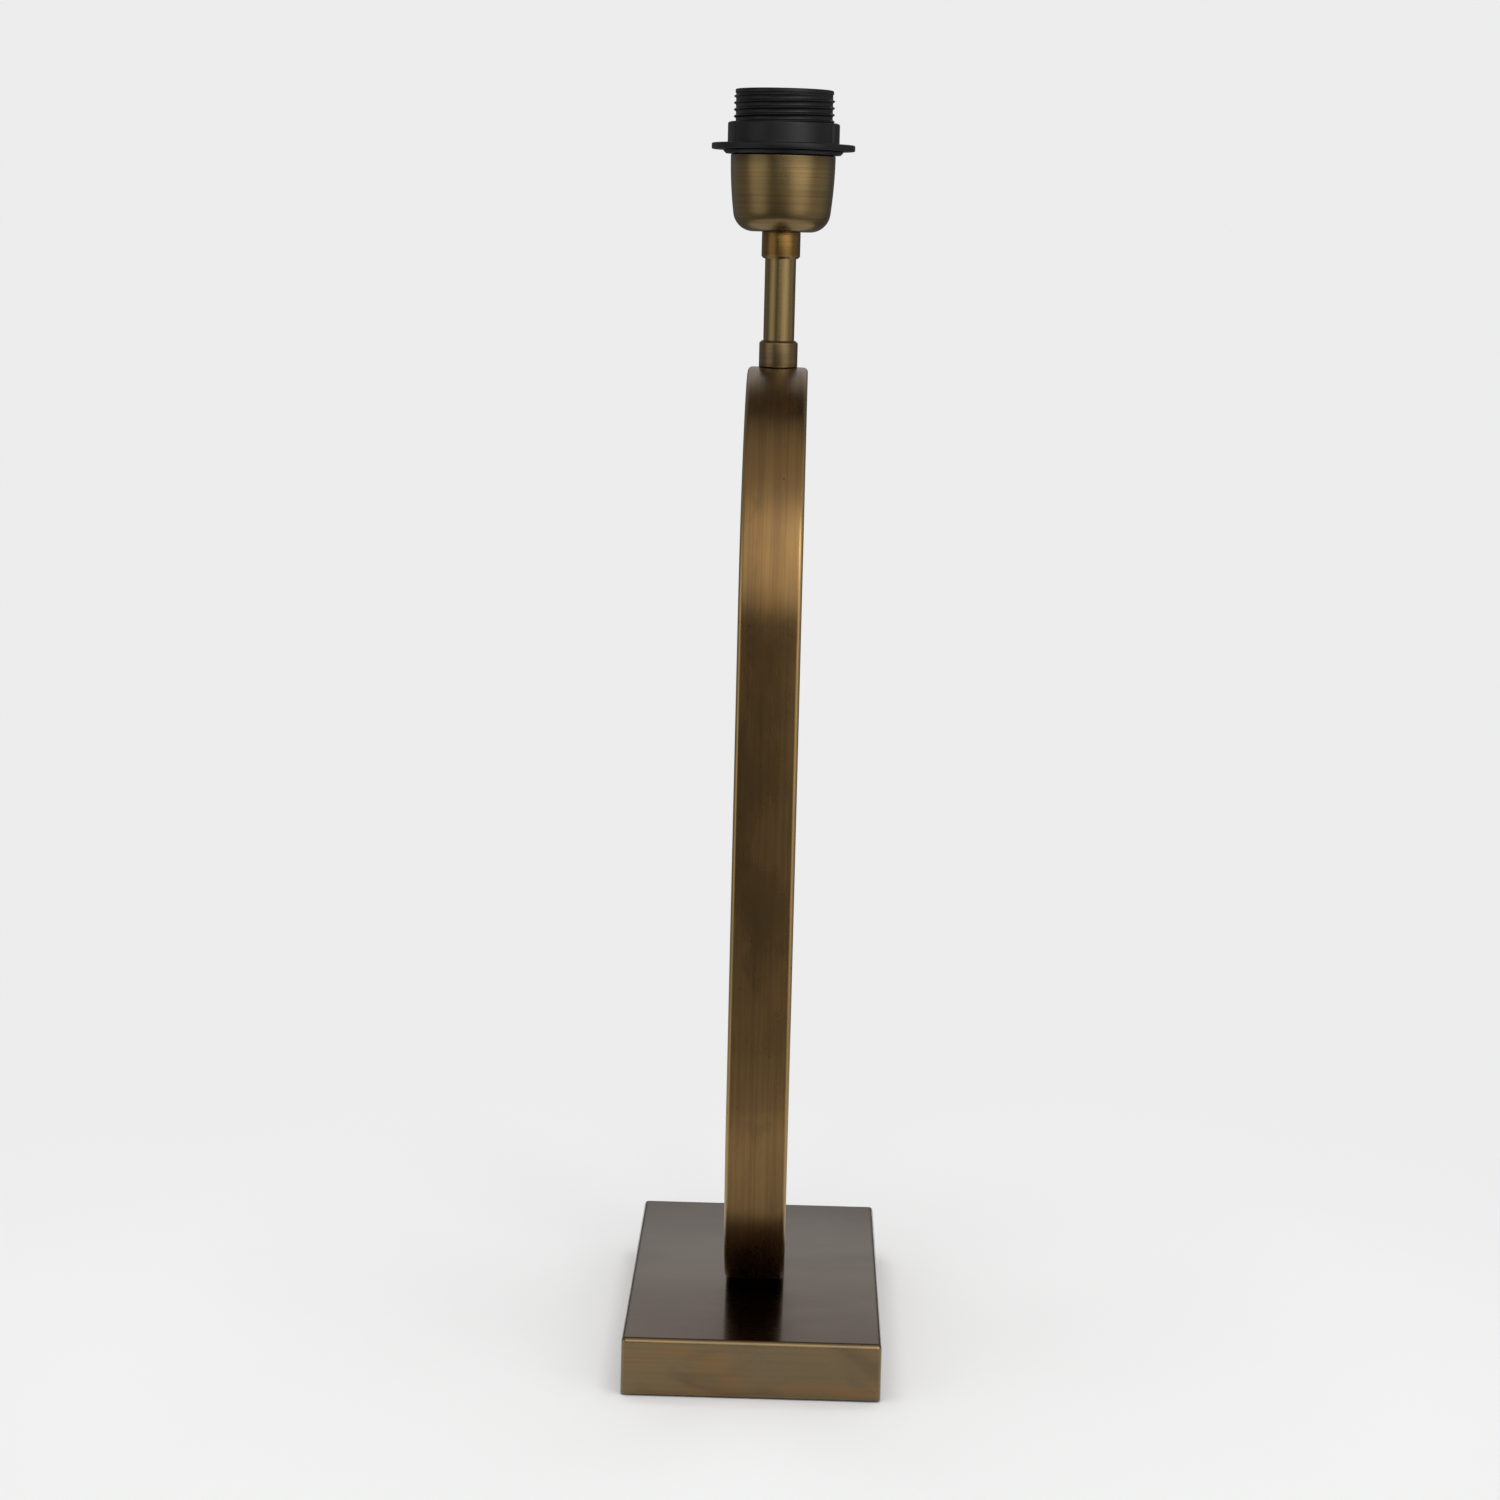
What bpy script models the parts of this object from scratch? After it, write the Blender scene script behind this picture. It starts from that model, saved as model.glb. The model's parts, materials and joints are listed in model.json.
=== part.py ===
"""Table lamp foot, in metres with +Z up.

A flat brass loop stands on a weighted block base and carries a short stem, a spun cup and a
screw lampholder. The loop lies in the YZ plane, and the cord enters the back of the base (+Y).
Driving sizes are in capitals. Sizes that follow from them are in small letters.
"""

import math

import bmesh
import bpy
from mathutils import Vector
from mathutils.geometry import interpolate_bezier

TAU = 2 * math.pi

# Fits
GAP = 0.0003                # play between pieces that touch
OVERRUN = 0.0015            # how far a cutter runs past what it cuts

# Roundness
ROUND_STEPS = 32            # facets round the cup
SLIM_STEPS = 24             # facets round the stem and its holes
SMALL_STEPS = 10            # facets round screws and rivets
HIDDEN_STEPS = 12           # facets round what the covers hide
GLAND_STEPS = 16
WIRE_SIDES = 6
THREAD_STEPS = 24           # facets round the threaded barrel
BEND_STEPS = 26             # facets along each half round of the loop
FILLET_STEPS = 3
SHARP_ANGLE = math.radians(35)

# Base block, a folded shell over an iron weight
BASE_WIDTH = 0.100
BASE_DEPTH = 0.180
BASE_HEIGHT = 0.023
SHELL_WALL = 0.0015
SHELL_FOLD = 0.0014         # outside radius of the folds
SHELL_LIFT = 0.0008         # rim of the shell above the floor
FELT_THICKNESS = 0.0020
FELT_INSET = 0.0012
PLATE_THICKNESS = 0.0012
WEIGHT_SIDE_PLAY = 0.0010
WEIGHT_END_PLAY = 0.0027    # leaves room for the inner lip of the gland
WEIGHT_EDGE = 0.0020
WEB_THICKNESS = 0.0060      # iron left above the pocket
POCKET_WIDTH = 0.032
POCKET_FRONT = 0.014
POCKET_BACK = 0.044
CHANNEL_WIDTH = 0.013
COVER_SCREW_INSET = 0.014
COVER_SCREW_RADIUS = 0.0019
COVER_SCREW_LENGTH = 0.0075
COVER_HEAD_RADIUS = 0.0036
COVER_HEAD_HEIGHT = 0.0013
SLOT_WIDTH = 0.0008
SLOT_DEPTH_SHARE = 0.5      # of the head's height

# Cord gland in the back wall
GLAND_NECK_RADIUS = 0.0043
GLAND_BORE_RADIUS = 0.0032
GLAND_LIP_RADIUS = 0.0056
GLAND_LIP = 0.0014
GLAND_ROUND = 0.0006

# Hollow threaded tube and what is screwed on it
TUBE_RADIUS = 0.0048
TUBE_BORE_RADIUS = 0.0037
TUBE_CHAMFER = 0.0004
NUT_ACROSS = 0.014
NUT_HEIGHT = 0.0035
CUP_NUT_HEIGHT = 0.0030
WASHER_RADIUS = 0.0085
WASHER_THICKNESS = 0.0008
TUBE_PROUD = 0.0008         # tube end below the base nut
TAG_REACH = 0.015
TAG_WIDTH = 0.0050

# Terminal block in the base
BLOCK_WIDTH = 0.020
BLOCK_DEPTH = 0.014
BLOCK_HEIGHT = 0.0098
BLOCK_EDGE = 0.0008
BLOCK_FRONT = 0.021
BLOCK_PITCH = 0.0100
BLOCK_BORE_DROP = 0.0068    # bores below the top of the block
TERMINAL_SCREW_RADIUS = 0.0013
TERMINAL_HEAD_RADIUS = 0.0019
TERMINAL_HEAD_HEIGHT = 0.0010
TERMINAL_SCREW_LENGTH = 0.0022
FIXING_SCREW_RADIUS = 0.0014
FIXING_HEAD_RADIUS = 0.0024
FIXING_HEAD_HEIGHT = 0.0010
FIXING_BITE = 0.0030

# Loop, a flat rectangular tube bent to a racetrack
LOOP_HEIGHT = 0.368
LOOP_DEPTH = 0.184
BAND_WIDTH = 0.0237
BAND_THICKNESS = 0.012
BAND_WALL = 0.0012
BAND_EDGE = 0.0013

# Stem between the loop and the cup
STEM_RADIUS = 0.0061
STEM_VISIBLE = 0.0320
COLLAR_RADIUS = 0.0076
COLLAR_HEIGHT = 0.0101
COLLAR_SEAT = 0.0022
COLLAR_CHAMFER = 0.0009

# Spun cup
CUP_RIM_RADIUS = 0.02055
CUP_FLARE = 0.00125
CUP_HEIGHT = 0.0297
CUP_CORNER = 0.0080
CUP_WALL = 0.0012
CUP_EDGE = 0.0004
CUP_SIDE_SHARES = (0.12, 0.35, 0.65)

# Lampholder
CAP_RADIUS = 0.01815
CAP_NECK_RADIUS = 0.0072
CAP_NECK_HEIGHT = 0.0056
CAP_RIM_RADIUS = 0.0162
CAP_RIM_WALL = 0.0018
CAP_WALL = 0.0018
CAP_DOME_ROUND = 0.0050
SKIRT_DROP = 0.0083         # skirt of the barrel below its shoulder
INSERT_HEIGHT = 0.0105
INSERT_DROP = 0.0011        # top of the insert below the shoulder
SHOULDER_RADIUS = 0.0234
SHOULDER_THICKNESS = 0.0016
SHOULDER_CHAMFER = 0.0009
BARREL_LENGTH = 0.0233      # shoulder to mouth
BARREL_CREST_RADIUS = 0.01975
BARREL_THREAD_DEPTH = 0.0008
BARREL_PITCH = 0.0026
BARREL_LEAD = 0.0017        # plain band at the mouth
BARREL_LEAD_PROUD = 0.0003
BARREL_EDGE = 0.0005
BARREL_RIM = 0.0030
MOUTH_RADIUS = 0.0148
MOUTH_DEPTH = 0.0018
LAMP_MINOR_RADIUS = 0.0123
LAMP_THREAD_DEPTH = 0.0010
LAMP_PITCH = 0.00363
LAMP_THREAD_START = 0.0020  # plain wall under the lamp thread
SLEEVE_RADIUS = 0.0150
THREAD_END_SHARE = 0.12     # of the pitch, plain wall at each end of a thread
BARREL_THREAD_SHARES = ((0, 0), (0.50, 0), (0.70, 1), (0.80, 1))
LAMP_THREAD_SHARES = ((0, 0), (0.25, 0.5), (0.50, 1), (0.75, 0.5))

# Contacts on the insert
CONTACT_THICKNESS = 0.0005
CONTACT_WIDTH = 0.0050
CONTACT_FOOT = 0.0036
CENTRE_BEND_X = -0.0080
CENTRE_RISE = 0.0034
CENTRE_TIP_START = -0.0015
CENTRE_TIP_END = 0.0030
SIDE_BEND_X = 0.0112
SIDE_RISE = 0.0052
SIDE_LEAN = 0.0004
RIVET_RADIUS = 0.0008
RIVET_HEAD_RADIUS = 0.0011
RIVET_HEAD_HEIGHT = 0.0006
RIVET_SHARE = 0.50          # of the foot, from the bend to the rivet
HOLDER_WIRE_SPREAD = 0.0052
HOLDER_SCREW_OFFSET = 0.0056
HOLDER_WIRE_DEPTH = 0.0045

# Shade ring
FLANGE_RADIUS = 0.0282
FLANGE_THICKNESS = 0.0024
FLANGE_EDGE = 0.0008
RING_HEIGHT = 0.0107
RING_WALL = 0.0012
RING_LUG = 0.00065
RING_RECESS = 0.0003        # recess under the flange that takes the shoulder
RECESS_PLAY = 0.0006        # between the recess and the shoulder's edge
RING_FILLET = 0.0008
LUG_COUNT = 2
LUG_HALF_ANGLE = math.radians(25)
LUG_FLANK_ANGLE = math.radians(2.5)
LUG_STEPS = 5
FLUTE_STEPS = 10

# Inner wires
WIRE_RADIUS = 0.0011
WIRE_SPACING = 0.0032       # centre to centre in the tubes
WIRE_BEND_SPOTS = 5         # places of the route along a quarter of the loop
WIRE_STEPS = 2              # points of the wire to each stretch of the route
WIRE_TURN_STEPS = 3         # the same where it turns in and out of the tubes
WIRE_TURN_ANGLES = (math.radians(3), math.radians(9))
WIRE_TURN_SHARES = (0.78, 0.30)     # of the free depth of the tube, towards the window
HANDLE_SHARE = 0.36

# Heights, from the floor up
plate_bottom = FELT_THICKNESS + GAP
weight_bottom = plate_bottom + PLATE_THICKNESS + GAP
weight_top = BASE_HEIGHT - SHELL_WALL - GAP
web_bottom = weight_top - WEB_THICKNESS
washer_bottom = web_bottom - GAP - WASHER_THICKNESS
tag_bottom = washer_bottom - GAP - WASHER_THICKNESS
base_nut_bottom = tag_bottom - GAP - NUT_HEIGHT
base_tube_bottom = base_nut_bottom - TUBE_PROUD
block_top = web_bottom - GAP
block_bottom = block_top - BLOCK_HEIGHT
gland_height = weight_bottom + GLAND_LIP_RADIUS + GAP
loop_bottom = BASE_HEIGHT + GAP
loop_top = loop_bottom + LOOP_HEIGHT
bend_radius = LOOP_DEPTH / 2
lower_bend = loop_bottom + bend_radius
upper_bend = loop_top - bend_radius
bore_radius = bend_radius - BAND_WALL
nut_sagitta = bore_radius - math.sqrt(bore_radius ** 2 - (NUT_ACROSS / 2) ** 2)
foot_nut_bottom = loop_bottom + BAND_WALL + nut_sagitta + GAP
foot_nut_top = foot_nut_bottom + NUT_HEIGHT
head_nut_top = loop_top - BAND_WALL - nut_sagitta - GAP
head_nut_bottom = head_nut_top - NUT_HEIGHT
lower_collar_bottom = loop_top + GAP
lower_collar_top = lower_collar_bottom + COLLAR_HEIGHT
upper_collar_bottom = lower_collar_top + STEM_VISIBLE
upper_collar_top = upper_collar_bottom + COLLAR_HEIGHT
stem_bottom = lower_collar_top - COLLAR_SEAT + GAP
stem_top = upper_collar_bottom + COLLAR_SEAT - GAP
cup_bottom = upper_collar_top + GAP
cup_washer_bottom = cup_bottom + CUP_WALL + GAP
cup_nut_bottom = cup_washer_bottom + WASHER_THICKNESS + GAP
cap_bottom = cup_nut_bottom + CUP_NUT_HEIGHT + GAP
cap_floor = cap_bottom + CAP_NECK_HEIGHT + CAP_WALL
shoulder_bottom = cup_bottom + CUP_HEIGHT + GAP
shoulder_top = shoulder_bottom + SHOULDER_THICKNESS
skirt_bottom = shoulder_bottom - SKIRT_DROP
insert_top = shoulder_bottom - INSERT_DROP
insert_bottom = insert_top - INSERT_HEIGHT
barrel_top = shoulder_top + BARREL_LENGTH
shade_ring_bottom = shoulder_top + GAP - RING_RECESS

# Radii that follow from what passes through
tube_hole = TUBE_RADIUS + GAP
wire_hole = WIRE_RADIUS + GAP
barrel_root = BARREL_CREST_RADIUS - BARREL_THREAD_DEPTH
skirt_bore = CAP_RIM_RADIUS + GAP
cap_rim_bore = CAP_RIM_RADIUS - CAP_RIM_WALL
insert_radius = cap_rim_bore - GAP
ring_bore = BARREL_CREST_RADIUS + GAP
ring_radius = ring_bore + RING_WALL
ring_recess_radius = SHOULDER_RADIUS + RECESS_PLAY

# Places that follow
block_bore_height = block_top - BLOCK_BORE_DROP
centre_rivet_x = CENTRE_BEND_X - CONTACT_FOOT * RIVET_SHARE
side_rivet_x = SIDE_BEND_X - CONTACT_FOOT * RIVET_SHARE


def clear_scene():
    for ob in list(bpy.data.objects):
        bpy.data.objects.remove(ob, do_unlink=True)


def paint(name, colour, roughness, metallic):
    """A Principled material with one colour, roughness and metallic value."""
    mat = bpy.data.materials.new(name)
    mat.use_nodes = True
    shader = mat.node_tree.nodes["Principled BSDF"]
    shader.inputs["Base Color"].default_value = (*colour, 1)
    shader.inputs["Roughness"].default_value = roughness
    shader.inputs["Metallic"].default_value = metallic
    mat.diffuse_color = (*colour, 1)
    return mat


def group(name):
    """An empty that holds one assembly together."""
    empty = bpy.data.objects.new(name, None)
    bpy.context.collection.objects.link(empty)
    return empty


def add(name, bm, mat, at=(0, 0, 0), parent=None, outward=True):
    """Makes a finished bmesh a named object with its origin at a given place."""
    if outward:
        bmesh.ops.recalc_face_normals(bm, faces=bm.faces)
    mesh = bpy.data.meshes.new(name)
    bm.to_mesh(mesh)
    bm.free()
    mesh.shade_smooth()
    mesh.set_sharp_from_angle(angle=SHARP_ANGLE)
    if mat:
        mesh.materials.append(mat)
    ob = bpy.data.objects.new(name, mesh)
    ob.location = at
    ob.parent = parent
    bpy.context.collection.objects.link(ob)
    return ob


def cut(target, tool):
    """Takes the tool's shape out of the target and keeps the tool as a hidden guide."""
    tool.hide_render = True
    tool.display_type = "WIRE"
    change = target.modifiers.new(tool.name, "BOOLEAN")
    change.operation = "DIFFERENCE"
    change.solver = "EXACT"
    change.object = tool


def even_angles(steps):
    return [TAU * i / steps for i in range(steps)]


def level_ring(bm, radius, height, angles):
    """A ring of vertices round the Z axis; the radius is a length or a function of the angle."""
    reach = radius if callable(radius) else lambda angle: radius
    return [bm.verts.new((reach(a) * math.cos(a), reach(a) * math.sin(a), height)) for a in angles]


def wall(bm, lower, upper):
    """Joins two rings of as many vertices with quads."""
    for i in range(len(lower)):
        j = (i + 1) % len(lower)
        bm.faces.new((lower[i], lower[j], upper[j], upper[i]))


def turned(name, outline, mat, at=(0, 0, 0), parent=None, steps=ROUND_STEPS, capped=False):
    """Turns an outline of (radius, height) points about the Z axis.
    An open outline is capped at both ends; a closed one runs round a bore."""
    bm = bmesh.new()
    angles = even_angles(steps)
    rings = [level_ring(bm, radius, height, angles) for radius, height in outline]
    for lower, upper in zip(rings, rings[1:]):
        wall(bm, lower, upper)
    if capped:
        bm.faces.new(rings[0])
        bm.faces.new(rings[-1])
    else:
        wall(bm, rings[-1], rings[0])
    return add(name, bm, mat, at, parent)


def filleted(corners, steps=FILLET_STEPS):
    """Outline points through corners (a, b, radius), each rounded by its own radius."""
    points = []
    for i, (a, b, radius) in enumerate(corners):
        here = Vector((a, b))
        if not radius:
            points.append((a, b))
            continue
        before = (Vector(corners[i - 1][:2]) - here).normalized()
        after = (Vector(corners[(i + 1) % len(corners)][:2]) - here).normalized()
        half = before.angle(after) / 2
        centre = here + (before + after).normalized() * radius / math.sin(half)
        first = here + before * radius / math.tan(half) - centre
        last = here + after * radius / math.tan(half) - centre
        for step in range(steps + 1):
            points.append(tuple(centre + radius * first.slerp(last, step / steps).normalized()))
    return points


def cuboid(low, high, edge=0, keep_below=None, steps=1):
    """A box between two corners, its edges rounded apart from those at keep_below."""
    bm = bmesh.new()
    bmesh.ops.create_cube(bm, size=1)
    low = Vector(low)
    size = Vector(high) - low
    for vert in bm.verts:
        vert.co = low + Vector([size[i] * (vert.co[i] + 0.5) for i in range(3)])
    if edge:
        edges = [e for e in bm.edges if keep_below is None or max(v.co.z for v in e.verts) > keep_below]
        bmesh.ops.bevel(bm, geom=edges, offset=edge, segments=steps, profile=0.5, affect="EDGES")
    return bm


def box_tool(name, low, high):
    return add(name, cuboid(low, high), None)


def rod_tool(name, radius, low, high, at=(0, 0, 0), steps=SMALL_STEPS):
    """An upright cylinder to cut with, from low to high above its place."""
    return turned(name, [(radius, low), (radius, high)], None, at, steps=steps, capped=True)


def prism(outline, low, high):
    """An outline of (x, y) points raised from low to high."""
    bm = bmesh.new()
    lower = [bm.verts.new((x, y, low)) for x, y in outline]
    upper = [bm.verts.new((x, y, high)) for x, y in outline]
    wall(bm, lower, upper)
    bm.faces.new(lower)
    bm.faces.new(upper)
    return bm


def washer(name, mat, bottom, radius, parent):
    outline = [(tube_hole, 0), (radius, 0), (radius, WASHER_THICKNESS), (tube_hole, WASHER_THICKNESS)]
    return turned(name, outline, mat, (0, 0, bottom), parent, HIDDEN_STEPS)


def hex_nut(name, mat, bottom, height, parent):
    """A hexagon nut on the threaded tube with two of its corners on the X axis."""
    def across_corner(angle):
        return NUT_ACROSS / 2 / math.cos(angle % (TAU / 6) - TAU / 12)
    outline = [(tube_hole, 0), (across_corner, 0), (across_corner, height), (tube_hole, height)]
    return turned(name, outline, mat, (0, 0, bottom), parent, HIDDEN_STEPS)


def threaded_tube(name, mat, low, high, parent):
    """A hollow tube from low to high with chamfered ends; its fine thread is left smooth."""
    length = high - low
    lip = TUBE_RADIUS - TUBE_CHAMFER
    outline = [(TUBE_BORE_RADIUS, 0), (lip, 0), (TUBE_RADIUS, TUBE_CHAMFER),
               (TUBE_RADIUS, length - TUBE_CHAMFER), (lip, length), (TUBE_BORE_RADIUS, length)]
    return turned(name, outline, mat, (0, 0, low), parent, HIDDEN_STEPS)


def slotted_screw(name, mat, radius, length, head_radius, head_height, at, parent, slot_name):
    """A screw that points up, its slotted head hanging below its place."""
    outline = [(head_radius, -head_height), (head_radius, 0), (radius, 0), (radius, length)]
    screw = turned(name, outline, mat, at, parent, SMALL_STEPS, capped=True)
    reach = head_radius + OVERRUN
    depth = head_height * SLOT_DEPTH_SHARE
    slot = box_tool(slot_name, (-reach, -SLOT_WIDTH / 2, -head_height - OVERRUN),
                    (reach, SLOT_WIDTH / 2, depth - head_height))
    slot.location = at
    cut(screw, slot)
    return screw


def cover_screw_places():
    x = BASE_WIDTH / 2 - COVER_SCREW_INSET
    y = BASE_DEPTH / 2 - COVER_SCREW_INSET
    return [(-x, -y), (x, -y), (-x, y), (x, y)]


def make_base_shell(mats, parent):
    """The folded brass box, open below, with a hole for the tube and one for the gland."""
    x = BASE_WIDTH / 2
    y = BASE_DEPTH / 2
    outside = cuboid((-x, -y, SHELL_LIFT), (x, y, BASE_HEIGHT), SHELL_FOLD, SHELL_LIFT, FILLET_STEPS)
    shell = add("base_shell", outside, mats["brass"], parent=parent)
    cut(shell, box_tool("cut_shell_inside", (SHELL_WALL - x, SHELL_WALL - y, SHELL_LIFT - OVERRUN),
                        (x - SHELL_WALL, y - SHELL_WALL, BASE_HEIGHT - SHELL_WALL)))
    cut(shell, rod_tool("cut_shell_tube", tube_hole, BASE_HEIGHT - SHELL_WALL - OVERRUN,
                        BASE_HEIGHT + OVERRUN, steps=SLIM_STEPS))
    gland_hole = rod_tool("cut_shell_gland", GLAND_NECK_RADIUS + GAP, -SHELL_WALL - OVERRUN, OVERRUN,
                          (0, y, gland_height), SLIM_STEPS)
    gland_hole.rotation_euler.x = -TAU / 4
    cut(shell, gland_hole)
    return shell


def make_base_weight(mats, parent):
    """The iron block, pocketed from below for the nut, the terminal block and the cord."""
    x = BASE_WIDTH / 2 - SHELL_WALL - WEIGHT_SIDE_PLAY
    y = BASE_DEPTH / 2 - SHELL_WALL - WEIGHT_END_PLAY
    weight = add("base_weight", cuboid((-x, -y, weight_bottom), (x, y, weight_top), WEIGHT_EDGE),
                 mats["iron"], parent=parent)
    low = weight_bottom - OVERRUN
    cut(weight, box_tool("cut_weight_pocket", (-POCKET_WIDTH / 2, -POCKET_FRONT, low),
                         (POCKET_WIDTH / 2, POCKET_BACK, web_bottom)))
    cut(weight, box_tool("cut_weight_channel", (-CHANNEL_WIDTH / 2, POCKET_BACK - OVERRUN, low),
                         (CHANNEL_WIDTH / 2, y + OVERRUN, web_bottom)))
    cut(weight, rod_tool("cut_weight_tube", tube_hole, web_bottom - OVERRUN, weight_top + OVERRUN,
                         steps=SLIM_STEPS))
    for i, (sx, sy) in enumerate(cover_screw_places(), 1):
        top = plate_bottom + COVER_SCREW_LENGTH + GAP
        cut(weight, rod_tool(f"cut_weight_screw_{i}", COVER_SCREW_RADIUS + GAP, low, top, (sx, sy, 0)))
    fixing = BLOCK_FRONT + BLOCK_DEPTH / 2
    cut(weight, rod_tool("cut_weight_fixing", FIXING_SCREW_RADIUS + GAP, web_bottom - OVERRUN,
                         web_bottom + FIXING_BITE + GAP, (0, fixing, 0)))
    return weight


def make_underside(mats, parent):
    """The steel cover plate, its felt and the screws that hold the plate to the weight."""
    x = BASE_WIDTH / 2 - SHELL_WALL - GAP
    y = BASE_DEPTH / 2 - SHELL_WALL - GAP
    plate = add("base_cover", cuboid((-x, -y, plate_bottom), (x, y, plate_bottom + PLATE_THICKNESS)),
                mats["steel"], parent=parent)
    fx = BASE_WIDTH / 2 - SHELL_WALL - FELT_INSET
    fy = BASE_DEPTH / 2 - SHELL_WALL - FELT_INSET
    felt = add("base_felt", cuboid((-fx, -fy, 0), (fx, fy, FELT_THICKNESS)), mats["felt"], parent=parent)
    for i, (sx, sy) in enumerate(cover_screw_places(), 1):
        cut(plate, rod_tool(f"cut_plate_screw_{i}", COVER_SCREW_RADIUS + GAP, plate_bottom - OVERRUN,
                            plate_bottom + PLATE_THICKNESS + OVERRUN, (sx, sy, 0)))
        cut(felt, rod_tool(f"cut_felt_screw_{i}", COVER_HEAD_RADIUS + GAP, -OVERRUN,
                           FELT_THICKNESS + OVERRUN, (sx, sy, 0)))
        slotted_screw(f"cover_screw_{i}", mats["steel"], COVER_SCREW_RADIUS, COVER_SCREW_LENGTH + GAP,
                      COVER_HEAD_RADIUS, COVER_HEAD_HEIGHT, (sx, sy, plate_bottom - GAP), parent,
                      f"cut_cover_slot_{i}")


def make_base_fixing(mats, parent):
    """The hollow tube that clamps loop, shell and weight together, with its washers and nut."""
    threaded_tube("base_tube", mats["steel"], base_tube_bottom, foot_nut_top, parent)
    washer("base_washer", mats["steel"], washer_bottom, WASHER_RADIUS, parent)
    hex_nut("base_nut", mats["steel"], base_nut_bottom, NUT_HEIGHT, parent)
    eye = even_angles(SLIM_STEPS)
    half = TAG_WIDTH / 2
    start = math.sqrt(WASHER_RADIUS ** 2 - half ** 2)
    rim = [(WASHER_RADIUS * math.cos(a), WASHER_RADIUS * math.sin(a)) for a in eye]
    rim = [(x, y) for x, y in rim if not (x < 0 and abs(y) < half)]
    split = next(i for i, (x, y) in enumerate(rim) if x < 0 and y < 0)
    arm = [(-start, half), (-TAG_REACH, half), (-TAG_REACH, -half), (-start, -half)]
    tag = add("earth_tag", prism(rim[:split] + arm + rim[split:], 0, WASHER_THICKNESS), mats["contact"],
              (0, 0, tag_bottom), parent)
    cut(tag, rod_tool("cut_tag_eye", tube_hole, tag_bottom - OVERRUN,
                      tag_bottom + WASHER_THICKNESS + OVERRUN, steps=SLIM_STEPS))


def make_terminal_block(mats, parent):
    """The two-way block that joins the cord to the inner wires, screwed under the web."""
    half = BLOCK_WIDTH / 2
    back = BLOCK_FRONT + BLOCK_DEPTH
    middle = BLOCK_FRONT + BLOCK_DEPTH / 2
    clamp = block_bore_height - WIRE_RADIUS - block_bottom
    block = add("terminal_block", cuboid((-half, BLOCK_FRONT, block_bottom), (half, back, block_top),
                                         BLOCK_EDGE), mats["insulator"], parent=parent)
    cut(block, rod_tool("cut_block_fixing", FIXING_SCREW_RADIUS + GAP, block_bottom - OVERRUN,
                        block_top + OVERRUN, (0, middle, 0)))
    slotted_screw("block_screw", mats["steel"], FIXING_SCREW_RADIUS,
                  web_bottom + FIXING_BITE - block_bottom + GAP, FIXING_HEAD_RADIUS, FIXING_HEAD_HEIGHT,
                  (0, middle, block_bottom - GAP), parent, "cut_block_slot")
    for i, x in enumerate((-BLOCK_PITCH / 2, BLOCK_PITCH / 2), 1):
        bore = rod_tool(f"cut_block_bore_{i}", wire_hole, -OVERRUN, BLOCK_DEPTH + OVERRUN,
                        (x, BLOCK_FRONT, block_bore_height))
        bore.rotation_euler.x = -TAU / 4
        cut(block, bore)
        y = BLOCK_FRONT + BLOCK_DEPTH / 4
        cut(block, rod_tool(f"cut_block_well_{i}", TERMINAL_SCREW_RADIUS + GAP, block_bottom - OVERRUN,
                            block_bore_height, (x, y, 0)))
        slotted_screw(f"block_terminal_screw_{i}", mats["contact"], TERMINAL_SCREW_RADIUS, clamp,
                      TERMINAL_HEAD_RADIUS, TERMINAL_HEAD_HEIGHT, (x, y, block_bottom - GAP), parent,
                      f"cut_block_screw_slot_{i}")


def make_gland(mats, parent):
    """The rubber cord gland, pressed into the back wall with a lip on either side."""
    inner = GLAND_LIP + GAP + SHELL_WALL
    corners = [(GLAND_BORE_RADIUS, -inner, 0), (GLAND_LIP_RADIUS, -inner, 0),
               (GLAND_LIP_RADIUS, GLAND_LIP - inner, 0), (GLAND_NECK_RADIUS, GLAND_LIP - inner, 0),
               (GLAND_NECK_RADIUS, GAP, 0), (GLAND_LIP_RADIUS, GAP, 0),
               (GLAND_LIP_RADIUS, GAP + GLAND_LIP, GLAND_ROUND),
               (GLAND_BORE_RADIUS, GAP + GLAND_LIP, GLAND_ROUND)]
    gland = turned("cord_gland", filleted(corners, 2), mats["rubber"],
                   (0, BASE_DEPTH / 2, gland_height), parent, GLAND_STEPS)
    gland.rotation_euler.x = -TAU / 4
    return gland


def loop_spot(x, out, angle, centre):
    """A point of the loop: across its width, outward from its middle line, and round a bend."""
    radius = bend_radius - BAND_THICKNESS / 2 + out
    return Vector((x, radius * math.cos(angle), centre + radius * math.sin(angle)))


def sweep_loop(bm, section):
    """Carries a section of (x, outward) points round the racetrack."""
    rings = []
    for centre, start in ((upper_bend, 0), (lower_bend, TAU / 2)):
        for step in range(BEND_STEPS + 1):
            angle = start + TAU / 2 * step / BEND_STEPS
            rings.append([bm.verts.new(loop_spot(x, out, angle, centre)) for x, out in section])
    for lower, upper in zip(rings, rings[1:] + rings[:1]):
        wall(bm, lower, upper)


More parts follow.
